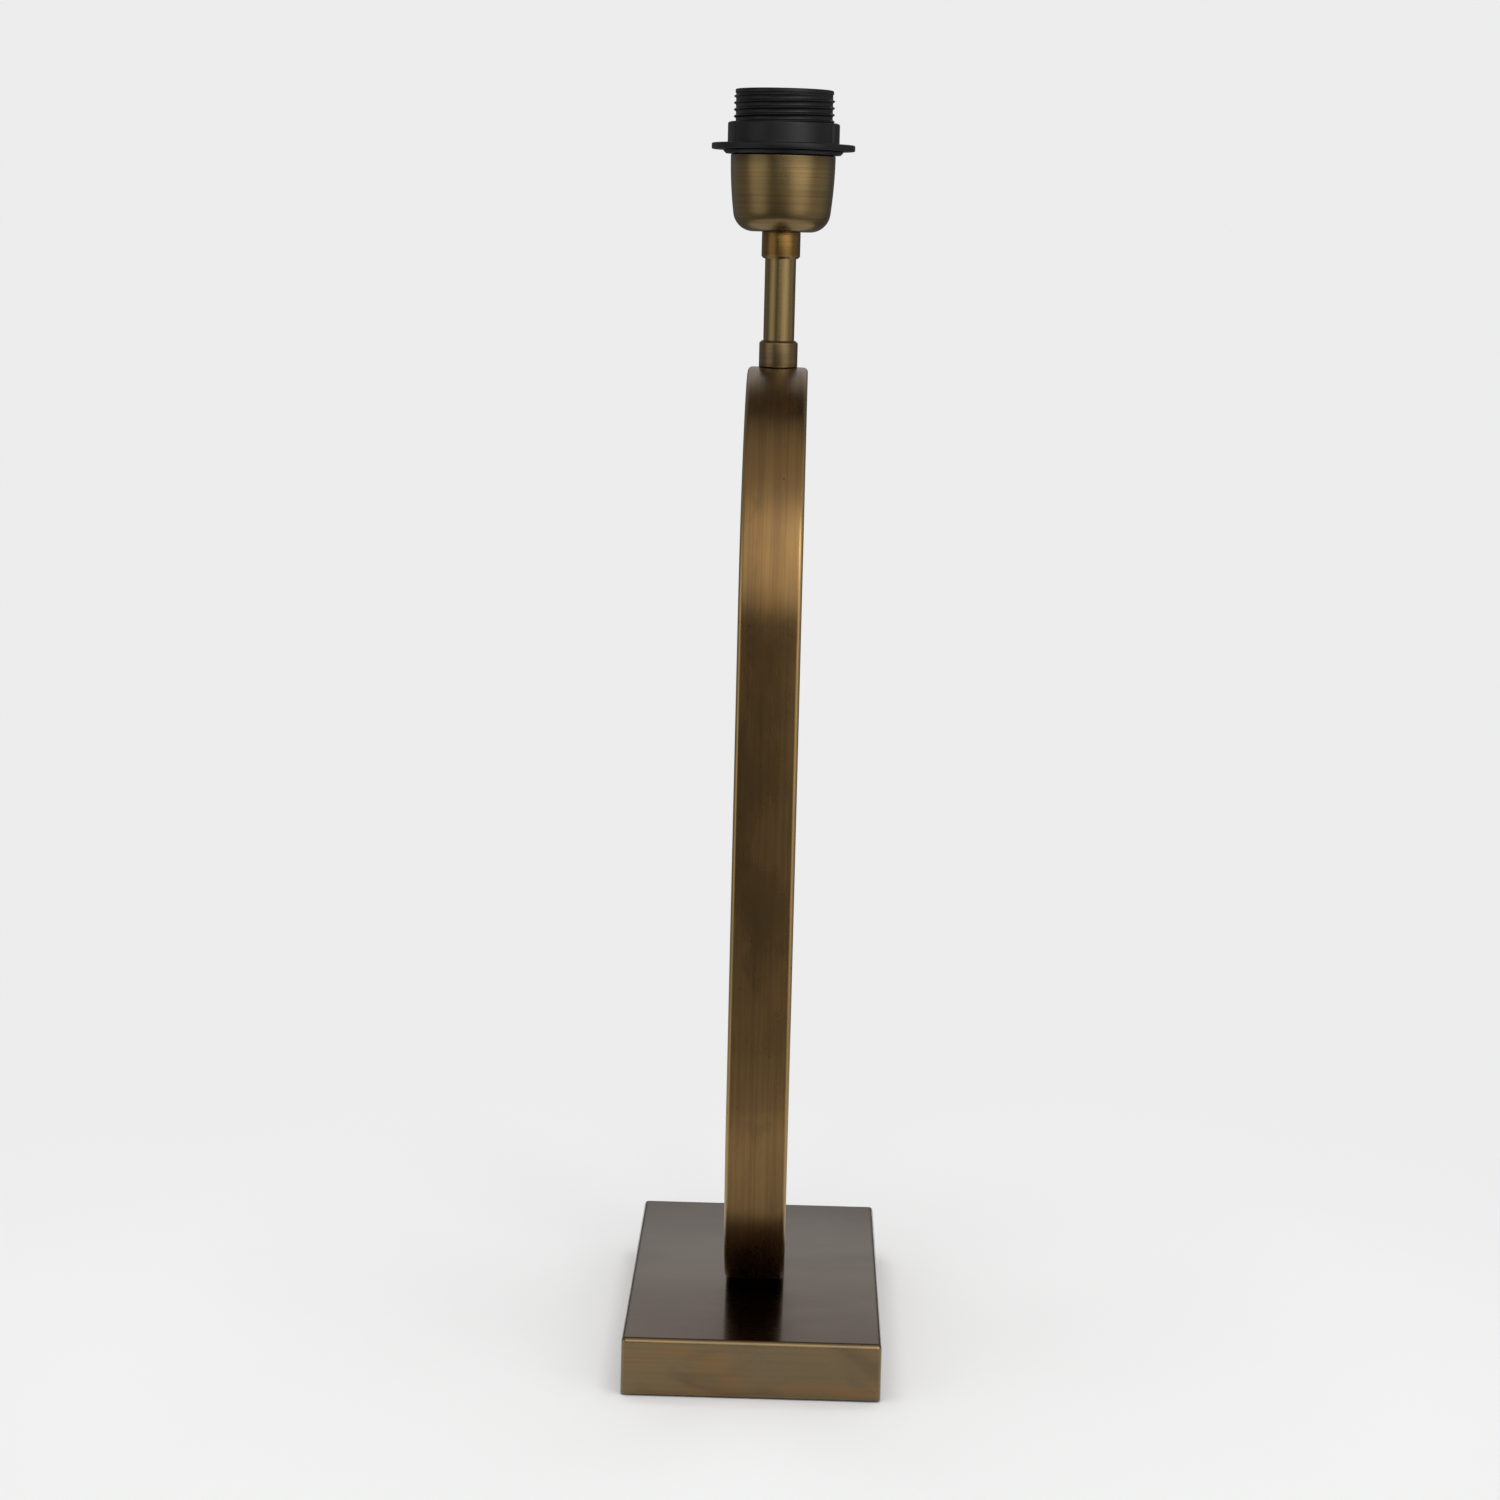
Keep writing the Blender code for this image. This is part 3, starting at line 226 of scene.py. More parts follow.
# 1 where the camera, a reflection or glass looks, and 0 for the light on dull surfaces
def seenMask(tree):
    path = addNode(tree, "ShaderNodeLightPath")
    seen = arithmetic(tree, "MAXIMUM", path.outputs["Is Camera Ray"], path.outputs["Is Glossy Ray"])
    return arithmetic(tree, "MAXIMUM", seen, path.outputs["Is Transmission Ray"])


def makeWorld():
    world = bpy.data.worlds.new("studio")
    bpy.context.scene.world = world
    world.use_nodes = True
    tree = world.node_tree
    tree.nodes.clear()
    grey = [stage["worldLight"]] * 3 + [1]
    colour = mixColour(tree, seenMask(tree), grey, stage["pale"])
    background = feed(tree, addNode(tree, "ShaderNodeBackground"), Color=colour, Strength=1)
    output = addNode(tree, "ShaderNodeOutputWorld")
    tree.links.new(background.outputs[0], output.inputs[0])


def emptyMaterial(name):
    mat = bpy.data.materials.new(name)
    mat.use_nodes = True
    mat.node_tree.nodes.clear()
    return mat, mat.node_tree


# The pale floor keeps the lamp's shadow and fades into the pale background.
def makeFloor():
    bm = bmesh.new()
    bmesh.ops.create_circle(bm, cap_ends=True, segments=stage["floorSides"],
                            radius=stage["floorRadius"])
    floor = placeMesh("floor", bm)
    mat, tree = emptyMaterial("paleFloor")
    away = vectorMath(tree, "LENGTH", objectVector(tree))
    far = softStep(tree, away, stage["floorFadeStart"], stage["floorFadeEnd"])
    lit = feed(tree, addNode(tree, "ShaderNodeBsdfDiffuse"), Color=stage["pale"])
    glow = feed(tree, addNode(tree, "ShaderNodeEmission"), Color=stage["pale"], Strength=1)
    mix = addNode(tree, "ShaderNodeMixShader")
    output = addNode(tree, "ShaderNodeOutputMaterial")
    tree.links.new(times(tree, far, seenMask(tree)), mix.inputs[0])
    tree.links.new(lit.outputs[0], mix.inputs[1])
    tree.links.new(glow.outputs[0], mix.inputs[2])
    tree.links.new(mix.outputs[0], output.inputs["Surface"])
    floor.data.materials.append(mat)


tent = {
    "radius": 6,
    "foot": -6,
    "shoulder": 5,
    "top": 9,
    "topRadius": 3,
    "sides": 64,
    "height": 0.3,
    "tint": (1, 0.975, 0.945, 1),
    "grey": 0.13,
}

# Soft glows on the tent: azimuth to the right of the camera's side, elevation, full and faded
# half width in degrees, strength
glows = {
    "key": (40, 14, 16, 36, 1.12),
    "keyHigh": (37, 25, 4, 18, 3.2),
    "rightSide": (72, 10, 10, 70, 0.45),
    "left": (-54, 6, 10, 32, 0.94),
    "leftSide": (-100, 5, 10, 60, 0.20),
    "front": (2, 28, 18, 32, 1.35),
    "ceiling": (0, 62, 10, 50, 0.58),
    "backdrop": (180, 28, 9, 28, 0.415),
}


def wayTo(azimuth, elevation):
    a = math.radians(azimuth)
    e = math.radians(elevation)
    return Vector((math.sin(a) * math.cos(e), -math.cos(a) * math.cos(e), math.sin(e)))


# A grey tent with soft glows round it all, which only reflections see
def makeTent():
    bm = bmesh.new()
    outline = [(tent["radius"], tent["foot"]), (tent["radius"], tent["shoulder"]),
               (tent["topRadius"], tent["top"]), (0, tent["top"])]
    spinOutline(bm, outline, tent["sides"], closed=False)
    card = placeMesh("greyTent", bm)
    mat, tree = emptyMaterial("greyTent")
    way = vectorMath(tree, "NORMALIZE", objectVector(tree))
    total = tent["grey"]
    for azimuth, elevation, full, faded, strength in glows.values():
        near = vectorMath(tree, "DOT_PRODUCT", way, wayTo(azimuth, elevation))
        rim = math.cos(math.radians(faded))
        core = math.cos(math.radians(full))
        total = arithmetic(tree, "ADD", softStep(tree, near, rim, core, (0, strength)), total)
    light = feed(tree, addNode(tree, "ShaderNodeEmission"), Color=tent["tint"], Strength=total)
    output = addNode(tree, "ShaderNodeOutputMaterial")
    tree.links.new(light.outputs[0], output.inputs["Surface"])
    card.data.materials.append(mat)
    card.location.z = tent["height"]
    card.visible_camera = False
    card.visible_diffuse = False
    card.visible_shadow = False


# Softboxes, which light the floor and dull surfaces: azimuth, elevation, distance, width, height
# and power
softboxes = {
    "frontBox": (2, 35, 2.00, 1.20, 1.20, 5.0),
    "rightBox": (50, 20, 2.00, 1.00, 1.20, 4.5),
    "leftBox": (-60, 20, 2.00, 1.00, 1.20, 3.0),
}
overhead = {"height": 2.2, "size": 2.2, "power": 32.5}
aim = Vector((0, 0, 0.25))  # the lamp's middle, at which they all point


def addBox(name, place, width, height, power):
    light = bpy.data.lights.new(name, "AREA")
    light.shape = "RECTANGLE"
    light.size = width
    light.size_y = height
    light.energy = power
    box = bpy.data.objects.new(name, light)
    box.location = place
    box.rotation_euler = (aim - place).to_track_quat("-Z", "Y").to_euler()
    box.visible_glossy = False
    bpy.context.scene.collection.objects.link(box)


def makeLights():
    for name, (azimuth, elevation, distance, width, height, power) in softboxes.items():
        addBox(name, aim + wayTo(azimuth, elevation) * distance, width, height, power)
    place = Vector((0, 0, overhead["height"]))
    addBox("overheadBox", place, overhead["size"], overhead["size"], overhead["power"])


makeCamera()
makeWorld()
makeFloor()
makeTent()
makeLights()
bpy.context.scene.view_settings.view_transform = "Standard"

print("finishes")


# A named group of nodes; an input without a value is a vector, and all else is a number.
def newGroup(name, inputs, outputs):
    tree = bpy.data.node_groups.new(name, "ShaderNodeTree")
    for socket, value in inputs.items():
        kind = "NodeSocketVector" if value is None else "NodeSocketFloat"
        item = tree.interface.new_socket(socket, in_out="INPUT", socket_type=kind)
        if value is not None:
            item.default_value = value
    for socket in outputs:
        tree.interface.new_socket(socket, in_out="OUTPUT", socket_type="NodeSocketFloat")
    return tree, addNode(tree, "NodeGroupInput").outputs, addNode(tree, "NodeGroupOutput").inputs


def noise(tree, vector, scale, detail, roughness, distortion=0):
    node = addNode(tree, "ShaderNodeTexNoise")
    feed(tree, node, Vector=vector, Scale=scale, Detail=detail, Roughness=roughness,
         Distortion=distortion)
    return node.outputs["Fac"]


scratches = {
    "drawn": (1, 1, 0.012),  # how fast they change along each axis
    "fine": (3000, 2, 0.6),  # scale, detail and roughness
    "wide": (620, 4, 0.65),
    "fineShare": 0.55,
    "streak": (0.38, 0.64),  # where a wide one starts to darken and is darkest
}


# Fine parallel scratches along the Z of its vector, in two widths
def makeBrushing():
    tree, given, result = newGroup("brushing", {"Vector": None, "Fineness": 1.0},
                                   ("Streak", "Height"))
    drawn = addNode(tree, "ShaderNodeMapping")
    feed(tree, drawn, Vector=given["Vector"], Scale=scratches["drawn"])
    widths = {}
    for width in ("fine", "wide"):
        scale, detail, roughness = scratches[width]
        scale = times(tree, given["Fineness"], scale)
        widths[width] = noise(tree, drawn.outputs[0], scale, detail, roughness)
    height = blend(tree, widths["fine"], widths["wide"], scratches["fineShare"])
    tree.links.new(softStep(tree, widths["wide"], *scratches["streak"]), result["Streak"])
    tree.links.new(height, result["Height"])
    return tree


# Marks of patina: scale, detail, roughness, distortion, and the noise where each starts and is full
marks = {
    "Cloud": (38, 4, 0.55, 0.4, 0.34, 0.68),
    "Spot": (160, 2, 0.5, 0.2, 0.48, 0.68),
    "Smudge": (90, 3, 0.6, 0.6, 0.54, 0.72),
}


# Soft clouds, spots and smudges, drawn out a little along Z
def makePatina():
    tree, given, result = newGroup("patina", {"Vector": None, "Size": 1.0, "Drawn": 0.45}, marks)
    drawn = feed(tree, addNode(tree, "ShaderNodeCombineXYZ"), X=1, Y=1, Z=given["Drawn"])
    vector = vectorMath(tree, "MULTIPLY", given["Vector"], drawn.outputs[0])
    for name, (scale, detail, roughness, distortion, start, full) in marks.items():
        scale = times(tree, given["Size"], scale)
        mark = noise(tree, vector, scale, detail, roughness, distortion)
        tree.links.new(softStep(tree, mark, start, full), result[name])
    return tree


# Dot product of the rounded normal and the true one, where wear starts and where it is full
rubbed = {"start": 0.995, "full": 0.90, "samples": 6}


# Where the surface turns sharply: an edge rubbed bright
def makeEdgeWear():
    tree, given, result = newGroup("edgeWear", {"Radius": 1.2 * mm}, ("Edge",))
    bevel = addNode(tree, "ShaderNodeBevel", samples=rubbed["samples"])
    tree.links.new(given["Radius"], bevel.inputs["Radius"])
    agreement = vectorMath(tree, "DOT_PRODUCT", bevel.outputs[0], surfaceNormal(tree))
    tree.links.new(softStep(tree, agreement, rubbed["start"], rubbed["full"]), result["Edge"])
    return tree


# Where each mask starts and is full, in squares of the normal's parts, and Top in its Z
foldRanges = {"Box": (0.97, 0.66), "Band": (0.02, 0.20), "Top": (0.80, 0.97)}


# Masks from the normal alone: the folds of a box, those beside a band across X, and the top
def makeFolds():
    tree, _, result = newGroup("folds", {}, foldRanges)
    parts = split(tree, surfaceNormal(tree))
    x, y, z = [times(tree, part, part) for part in parts]
    largest = arithmetic(tree, "MAXIMUM", arithmetic(tree, "MAXIMUM", x, y), z)
    slanted = times(tree, x, arithmetic(tree, "SUBTRACT", 1.0, x))
    for (name, (start, full)), value in zip(foldRanges.items(), (largest, slanted, parts["Z"])):
        tree.links.new(softStep(tree, value, start, full), result[name])
    return tree


pitEdge = {"start": 0.16, "full": 0.05}  # distances from a pit's middle, in cells


# Small dark pits in a few cells of a pattern
def makePits():
    tree, given, result = newGroup("pits", {"Vector": None, "Scale": 260.0, "Share": 0.06}, ("Pit",))
    cells = addNode(tree, "ShaderNodeTexVoronoi", feature="F1")
    feed(tree, cells, Vector=given["Vector"], Scale=given["Scale"])
    near = softStep(tree, cells.outputs["Distance"], pitEdge["start"], pitEdge["full"])
    chance = feed(tree, addNode(tree, "ShaderNodeSeparateColor"), Color=cells.outputs["Color"])
    chosen = arithmetic(tree, "LESS_THAN", chance.outputs[0], given["Share"])
    tree.links.new(times(tree, near, chosen), result["Pit"])
    return tree


effects = {
    "brushing": makeBrushing(),
    "patina": makePatina(),
    "edgeWear": makeEdgeWear(),
    "folds": makeFolds(),
    "pits": makePits(),
}


def useEffect(tree, name, **inputs):
    node = addNode(tree, "ShaderNodeGroup")
    node.node_tree = effects[name]
    return feed(tree, node, **inputs).outputs


def newMaterial(name, metallic, roughness, coat=0.0, coatRoughness=0.1, specular=0.5):
    mat = bpy.data.materials.new(name)
    mat.use_nodes = True
    tree = mat.node_tree
    shader = tree.nodes["Principled BSDF"]
    feed(tree, shader, Metallic=metallic, Roughness=roughness, Coat_Weight=coat,
         Coat_Roughness=coatRoughness, Specular_IOR_Level=specular)
    return mat, tree, shader


def bump(tree, shader, height, strength, distance):
    node = addNode(tree, "ShaderNodeBump")
    feed(tree, node, Height=height, Strength=strength, Distance=distance)
    tree.links.new(node.outputs[0], shader.inputs["Normal"])


# Layers of colour over a first one: the mask, share and colour of each
def layerColours(tree, colour, layers):
    for mask, share, over in layers:
        if share:
            colour = mixColour(tree, times(tree, mask, share), colour, over)
    return colour


brasses = {
    "yellow": {
        "gold": (0.214, 0.151, 0.061, 1),
        "bronze": (0.150, 0.105, 0.044, 1),
        "dark": (0.076, 0.051, 0.025, 1),
        "orange": (0.235, 0.130, 0.042, 1),
        "worn": (0.42, 0.30, 0.13, 1),
    },
    "red": {
        "gold": (0.215, 0.129, 0.046, 1),
        "bronze": (0.150, 0.088, 0.033, 1),
        "dark": (0.070, 0.041, 0.018, 1),
        "orange": (0.240, 0.118, 0.032, 1),
        "worn": (0.40, 0.27, 0.11, 1),
    },
    "dark": {
        "gold": (0.170, 0.116, 0.050, 1),
        "bronze": (0.125, 0.086, 0.039, 1),
        "dark": (0.066, 0.044, 0.022, 1),
        "orange": (0.185, 0.105, 0.036, 1),
        "worn": (0.21, 0.150, 0.066, 1),
        # painted shade: the darker colour given to the base's upward faces
        "top": (0.088, 0.052, 0.038, 1),
    },
    "orange": {
        "gold": (0.165, 0.098, 0.028, 1),
        "bronze": (0.118, 0.068, 0.020, 1),
        "dark": (0.060, 0.035, 0.013, 1),
        "orange": (0.200, 0.105, 0.022, 1),
        "worn": (0.40, 0.27, 0.10, 1),
    },
}
brassSkin = {
    "pits": 0.75,
    "cloudShare": 0.5,  # of the patina in the roughness, beside the brushing
    "smooth": 0.1,
    "rough": 0.8,
    "scratchDepth": 0.3 * mm,
}


# Antique brass; vectorFrom gives coordinates with the brushing along their Z, and plain ones.
def makeBrass(name, vectorFrom, look="yellow", roughness=(0.22, 0.34), bronzeShare=0.62,
              orangeShare=0.0, fineness=1.0, streaks=0.35, grain=0.10, size=1.0, wear=0.8, fold=None,
              topShadeShare=0.0, smudges=0.3, coat=0.2, coatRoughness=0.3, paintedShade=None):
    mat, tree, shader = newMaterial(name, 1.0, roughness[0], coat, coatRoughness)
    along, plain = vectorFrom(tree)
    palette = brasses[look]
    brushing = useEffect(tree, "brushing", Vector=along, Fineness=fineness)
    patina = useEffect(tree, "patina", Vector=along, Size=size)
    pits = useEffect(tree, "pits", Vector=plain)
    folds = useEffect(tree, "folds")
    layers = [
        (patina["Cloud"], bronzeShare, palette["bronze"]),
        (patina["Spot"], orangeShare, palette["orange"]),
        (patina["Smudge"], smudges, palette["dark"]),
        (brushing["Streak"], streaks, palette["dark"]),
    ]
    # Painted shade: faces that point up are coloured darker than the sides, by the Top mask.
    if topShadeShare:
        layers.append((folds["Top"], topShadeShare, palette["top"]))
    # Painted shade: darker over a reach below a given height, standing in for the shade under an
    # overhang.
    if paintedShade:
        paintedShadeMask = softStep(tree, split(tree, plain)["Z"], paintedShade["height"] - paintedShade["reach"], paintedShade["height"])
        layers.append((paintedShadeMask, paintedShade["share"], palette["dark"]))
    edge = folds[fold] if fold else useEffect(tree, "edgeWear")["Edge"]
    layers.append((edge, wear, palette["worn"]))
    layers.append((pits["Pit"], brassSkin["pits"], palette["dark"]))
    tree.links.new(layerColours(tree, palette["gold"], layers), shader.inputs["Base Color"])
    uneven = blend(tree, patina["Cloud"], brushing["Height"], brassSkin["cloudShare"])
    uneven = softStep(tree, uneven, brassSkin["smooth"], brassSkin["rough"], roughness)
    tree.links.new(uneven, shader.inputs["Roughness"])
    bump(tree, shader, brushing["Height"], grain, brassSkin["scratchDepth"])
    return mat


# A vector made of another one's parts, such as X="Z"; a part left out is 0.
def reorder(tree, vector, **sources):
    parts = split(tree, vector)
    joined = addNode(tree, "ShaderNodeCombineXYZ")
    for axis, source in sources.items():
        tree.links.new(parts[source], joined.inputs[axis])
    return joined.outputs[0]


# Coordinates for pieces brushed up and down
def upright(tree):
    vector = objectVector(tree)
    return vector, vector


# Coordinates for turned pieces, whose brushing runs round the Z axis
def turnedRings(tree):
    vector = objectVector(tree)
    return reorder(tree, vector, X="Z", Z="X"), vector


# Coordinates that follow the loop, from the attribute that its mesh carries
def followLoop(tree):
    attribute = addNode(tree, "ShaderNodeAttribute", attribute_name="lengthwise")
    return attribute.outputs["Vector"], objectVector(tree)


sideways = 0.7  # from this share of X in its normal on, a face counts as a long side


# Coordinates for the base: brushed along X, and along Y on its two long sides
def alongBase(tree):
    vector = objectVector(tree)
    facing = arithmetic(tree, "ABSOLUTE", split(tree, surfaceNormal(tree))["X"])
    choice = addNode(tree, "ShaderNodeMix", data_type="VECTOR")
    plug(tree, choice.inputs[0], arithmetic(tree, "GREATER_THAN", facing, sideways))
    plug(tree, choice.inputs[4], reorder(tree, vector, X="Y", Y="Z", Z="X"))
    plug(tree, choice.inputs[5], reorder(tree, vector, X="X", Y="Z", Z="Y"))
    return choice.outputs[1], vector


grainedSkin = {
    "cloudSize": 1.6,
    "cloudShare": 0.5,
    "pitScale": 420.0,
    "pitChance": 0.10,
    "pits": 0.3,
    "wornRadius": 0.6 * mm,
    "detail": 3,
    "grainRoughness": 0.6,
    "smooth": 0.3,
    "rough": 0.7,
    "grainDepth": 0.2 * mm,
}


# A plain moulded, cast or plated finish with a fine grain
def makeGrained(name, colour, second, roughness, scale, grain, metallic=0.0, wear=0.0, worn=None,
                specular=0.5):
    mat, tree, shader = newMaterial(name, metallic, roughness[0], specular=specular)
    vector = objectVector(tree)
    skin = grainedSkin
    patina = useEffect(tree, "patina", Vector=vector, Size=skin["cloudSize"], Drawn=1.0)
    pits = useEffect(tree, "pits", Vector=vector, Scale=skin["pitScale"], Share=skin["pitChance"])
    layers = [(patina["Cloud"], skin["cloudShare"], second)]
    if wear:
        edge = useEffect(tree, "edgeWear", Radius=skin["wornRadius"])["Edge"]
        layers.append((edge, wear, worn))
    layers.append((pits["Pit"], skin["pits"], second))
    tree.links.new(layerColours(tree, colour, layers), shader.inputs["Base Color"])
    fine = noise(tree, vector, scale, skin["detail"], skin["grainRoughness"])
    uneven = softStep(tree, fine, skin["smooth"], skin["rough"], roughness)
    tree.links.new(uneven, shader.inputs["Roughness"])
    bump(tree, shader, fine, grain, skin["grainDepth"])
    return mat


# Painted shade: the cup is coloured darker just under the black shoulder, where the flange shades it.
cupPaintedShade = {"height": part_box("holder_cup")[1].z, "reach": 5.5 * mm, "share": 0.8}
finishes = {
    "loop": makeBrass("brushedLoop", followLoop, "red", orangeShare=0.25, fold="Band", wear=0.7),
    "base": makeBrass("brushedBase", alongBase, "dark", roughness=(0.17, 0.28), orangeShare=0.9,
                      size=0.55, wear=0.38, smudges=0.5, fold="Box", topShadeShare=0.6, streaks=0.15,
                      coat=0.6, coatRoughness=0.13),
    "stem": makeBrass("brushedStem", upright, bronzeShare=0.8, fineness=1.2),
    "turned": makeBrass("turnedBrass", turnedRings, orangeShare=0.4, fineness=1.1, streaks=0.45,
                        wear=0.4, paintedShade=cupPaintedShade),
    "collar": makeBrass("orangeCollar", turnedRings, "orange", bronzeShare=0.5, orangeShare=0.8,
                        size=2.0, fineness=1.1, coat=0.1),
    "darkCollar": makeBrass("darkCollar", turnedRings, "dark", bronzeShare=0.9, orangeShare=0.4,
                            fineness=1.1),
    "plastic": makeGrained("blackPlastic", (0.0040, 0.0040, 0.0048, 1), (0.0062, 0.0062, 0.0072, 1),
                           roughness=(0.33, 0.43), scale=2600, grain=0.08, wear=0.5,
                           worn=(0.020, 0.020, 0.022, 1), specular=0.22),
    "rubber": makeGrained("blackRubber", (0.018, 0.018, 0.019, 1), (0.030, 0.029, 0.029, 1),
                          roughness=(0.60, 0.74), scale=1800, grain=0.15),
    "felt": makeGrained("blackFelt", (0.020, 0.020, 0.023, 1), (0.045, 0.044, 0.046, 1),
                        roughness=(0.90, 1.0), scale=3000, grain=0.9),
    "insulator": makeGrained("creamInsulator", (0.62, 0.60, 0.55, 1), (0.50, 0.47, 0.41, 1),
                             roughness=(0.42, 0.56), scale=1500, grain=0.12),
    "contact": makeGrained("stampedBrass", (0.62, 0.46, 0.20, 1), (0.42, 0.29, 0.12, 1),
                           roughness=(0.24, 0.38), scale=2200, grain=0.12, metallic=1.0, wear=0.5,
                           worn=(0.78, 0.62, 0.33, 1)),
    "steel": makeGrained("zincSteel", (0.50, 0.50, 0.49, 1), (0.34, 0.34, 0.33, 1),
                         roughness=(0.30, 0.46), scale=1400, grain=0.14, metallic=1.0, wear=0.4,
                         worn=(0.66, 0.66, 0.65, 1)),
    "iron": makeGrained("castIron", (0.070, 0.070, 0.075, 1), (0.040, 0.038, 0.037, 1),
                        roughness=(0.66, 0.86), scale=900, grain=0.5, metallic=0.6),
    "brownWire": makeGrained("brownInsulation", (0.12, 0.045, 0.020, 1), (0.085, 0.030, 0.014, 1),
                             roughness=(0.40, 0.50), scale=1200, grain=0.08),
    "blueWire": makeGrained("blueInsulation", (0.020, 0.090, 0.30, 1), (0.014, 0.065, 0.21, 1),
                            roughness=(0.40, 0.50), scale=1200, grain=0.08),
}

print("base")
base = {
    "fold": 1.9 * mm,
    "foldSteps": 6,
    "wall": 1.2 * mm,
    "holeRadius": 4.6 * mm,
    "holeSides": 48,
}


def makeBase():
    low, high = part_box("base_shell")
    bm = bmesh.new()
    bmesh.ops.create_cube(bm, size=1)
    bmesh.ops.scale(bm, vec=high - low, verts=bm.verts)
    bmesh.ops.translate(bm, vec=(low + high) / 2, verts=bm.verts)
    edges = [edge for edge in bm.edges if max(vert.co.z for vert in edge.verts) > low.z + touching]
    bmesh.ops.bevel(bm, geom=edges, offset=base["fold"], offset_type="OFFSET",
                    segments=base["foldSteps"], profile=0.5, affect="EDGES", material=-1)
    under = [face for face in bm.faces if all(vert.co.z < low.z + touching for vert in face.verts)]
    bmesh.ops.delete(bm, geom=under, context="FACES")
    bmesh.ops.recalc_face_normals(bm, faces=bm.faces)
    bmesh.ops.solidify(bm, geom=bm.faces[:], thickness=base["wall"])
    shell = finishPiece("baseShell", bm, finishes["base"], "base_shell", sharp=50)
    cutHole(shell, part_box("cord_gland"))


# Cuts the round hole for the gland and leaves a plain mesh behind.
def cutHole(shell, glandBox):
    low, high = glandBox
    bm = bmesh.new()
    bmesh.ops.create_cone(bm, cap_ends=True, segments=base["holeSides"], radius1=base["holeRadius"],
                          radius2=base["holeRadius"], depth=(high.y - low.y) * 2)
    bmesh.ops.rotate(bm, cent=origin, matrix=Matrix.Rotation(math.pi / 2, 3, "X"), verts=bm.verts)
    bmesh.ops.translate(bm, vec=(low + high) / 2, verts=bm.verts)
    cutter = placeMesh("holeCutter", bm)
    change = shell.modifiers.new("glandHole", "BOOLEAN")
    change.operation = "DIFFERENCE"
    change.object = cutter
    bpy.context.view_layer.update()
    cut = shell.evaluated_get(bpy.context.evaluated_depsgraph_get())
    done = bpy.data.meshes.new_from_object(cut)
    shell.modifiers.remove(change)
    shell.data = done
    bpy.data.objects.remove(cutter)


gland = {
    "bore": 3.2 * mm,
    "lip": 5.6 * mm,
    "lipDepth": 1.4 * mm,
    "neck": 4.3 * mm,
    "wall": 1.5 * mm,  # of the solid shell that it sits in
    "play": 0.3 * mm,
    "rounding": 0.6 * mm,
    "sides": 64,
}


# The rubber grommet, turned about the Y axis
def makeGland():
    low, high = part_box("cord_gland")
    soft = gland["rounding"]
    inner = -gland["lipDepth"] - gland["play"] - gland["wall"]
    outer = gland["play"] + gland["lipDepth"]
    corners = [(gland["bore"], inner, soft), (gland["lip"], inner, soft),
               (gland["lip"], inner + gland["lipDepth"], soft / 2),
               (gland["neck"], inner + gland["lipDepth"], 0), (gland["neck"], gland["play"], 0),
               (gland["lip"], gland["play"], soft / 2), (gland["lip"], outer, soft),
               (gland["bore"], outer, soft)]
    bm = bmesh.new()
    spinOutline(bm, roundedOutline(corners), gland["sides"])
    bmesh.ops.rotate(bm, cent=origin, matrix=Matrix.Rotation(-math.pi / 2, 3, "X"), verts=bm.verts)
    place = Vector((0, high.y - outer, (low.z + high.z) / 2))
    bmesh.ops.translate(bm, vec=place, verts=bm.verts)
    finishPiece("cordGland", bm, finishes["rubber"], "cord_gland")


makeBase()
makeGland()

print("loop")
loop = {
    "thick": 12 * mm,
    "edge": 1.8 * mm,
    "edgeSteps": 5,
    "bendSteps": 120,
    "straightSteps": 12,
}


# Pulls an open section up in even steps, or down where the rise is negative.
def pullSection(bm, section, rise):
    for _ in range(loop["straightSteps"]):
        points, section = extrudeRim(bm, section)
        bmesh.ops.translate(bm, vec=(0, 0, rise / loop["straightSteps"]), verts=points)
    return section


# Upper half of the racetrack from a rounded section, then mirrored about its middle
def makeLoop():
    low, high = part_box("loop_tube")
    radius = (high.y - low.y) / 2
    upper = high.z - radius
    lower = low.z + radius
    middle = (low.z + high.z) / 2
    bm = bmesh.new()
    bmesh.ops.create_grid(bm, x_segments=1, y_segments=1, size=0.5)
    bmesh.ops.scale(bm, vec=(high.x - low.x, loop["thick"], 1), verts=bm.verts)
    bmesh.ops.bevel(bm, geom=bm.verts[:], offset=loop["edge"], offset_type="OFFSET",
                    segments=loop["edgeSteps"], profile=0.5, affect="VERTICES", material=-1)
    bmesh.ops.translate(bm, vec=(0, loop["thick"] / 2 - radius, middle), verts=bm.verts)
    bmesh.ops.delete(bm, geom=bm.faces[:], context="FACES_ONLY")
    section = pullSection(bm, bm.edges[:], upper - middle)
    points = eachOnce(vert for edge in section for vert in edge.verts)
    bmesh.ops.spin(bm, geom=points + section, axis=(-1, 0, 0), cent=(0, 0, upper), angle=math.pi,
                   steps=loop["bendSteps"], use_merge=False, use_duplicate=False)
    section = [edge for edge in bm.edges if edge.is_boundary
               and all(vert.co.y > 0 and vert.co.z > middle + touching for vert in edge.verts)]
    pullSection(bm, section, middle - upper)
    bmesh.ops.mirror(bm, geom=bm.verts[:] + bm.edges[:] + bm.faces[:], axis="Z",
                     merge_dist=touching, matrix=Matrix.Translation((0, 0, -middle)))
    piece = finishPiece("loopTube", bm, finishes["loop"], "loop_tube")
    markLengthwise(piece.data, upper, lower, radius)


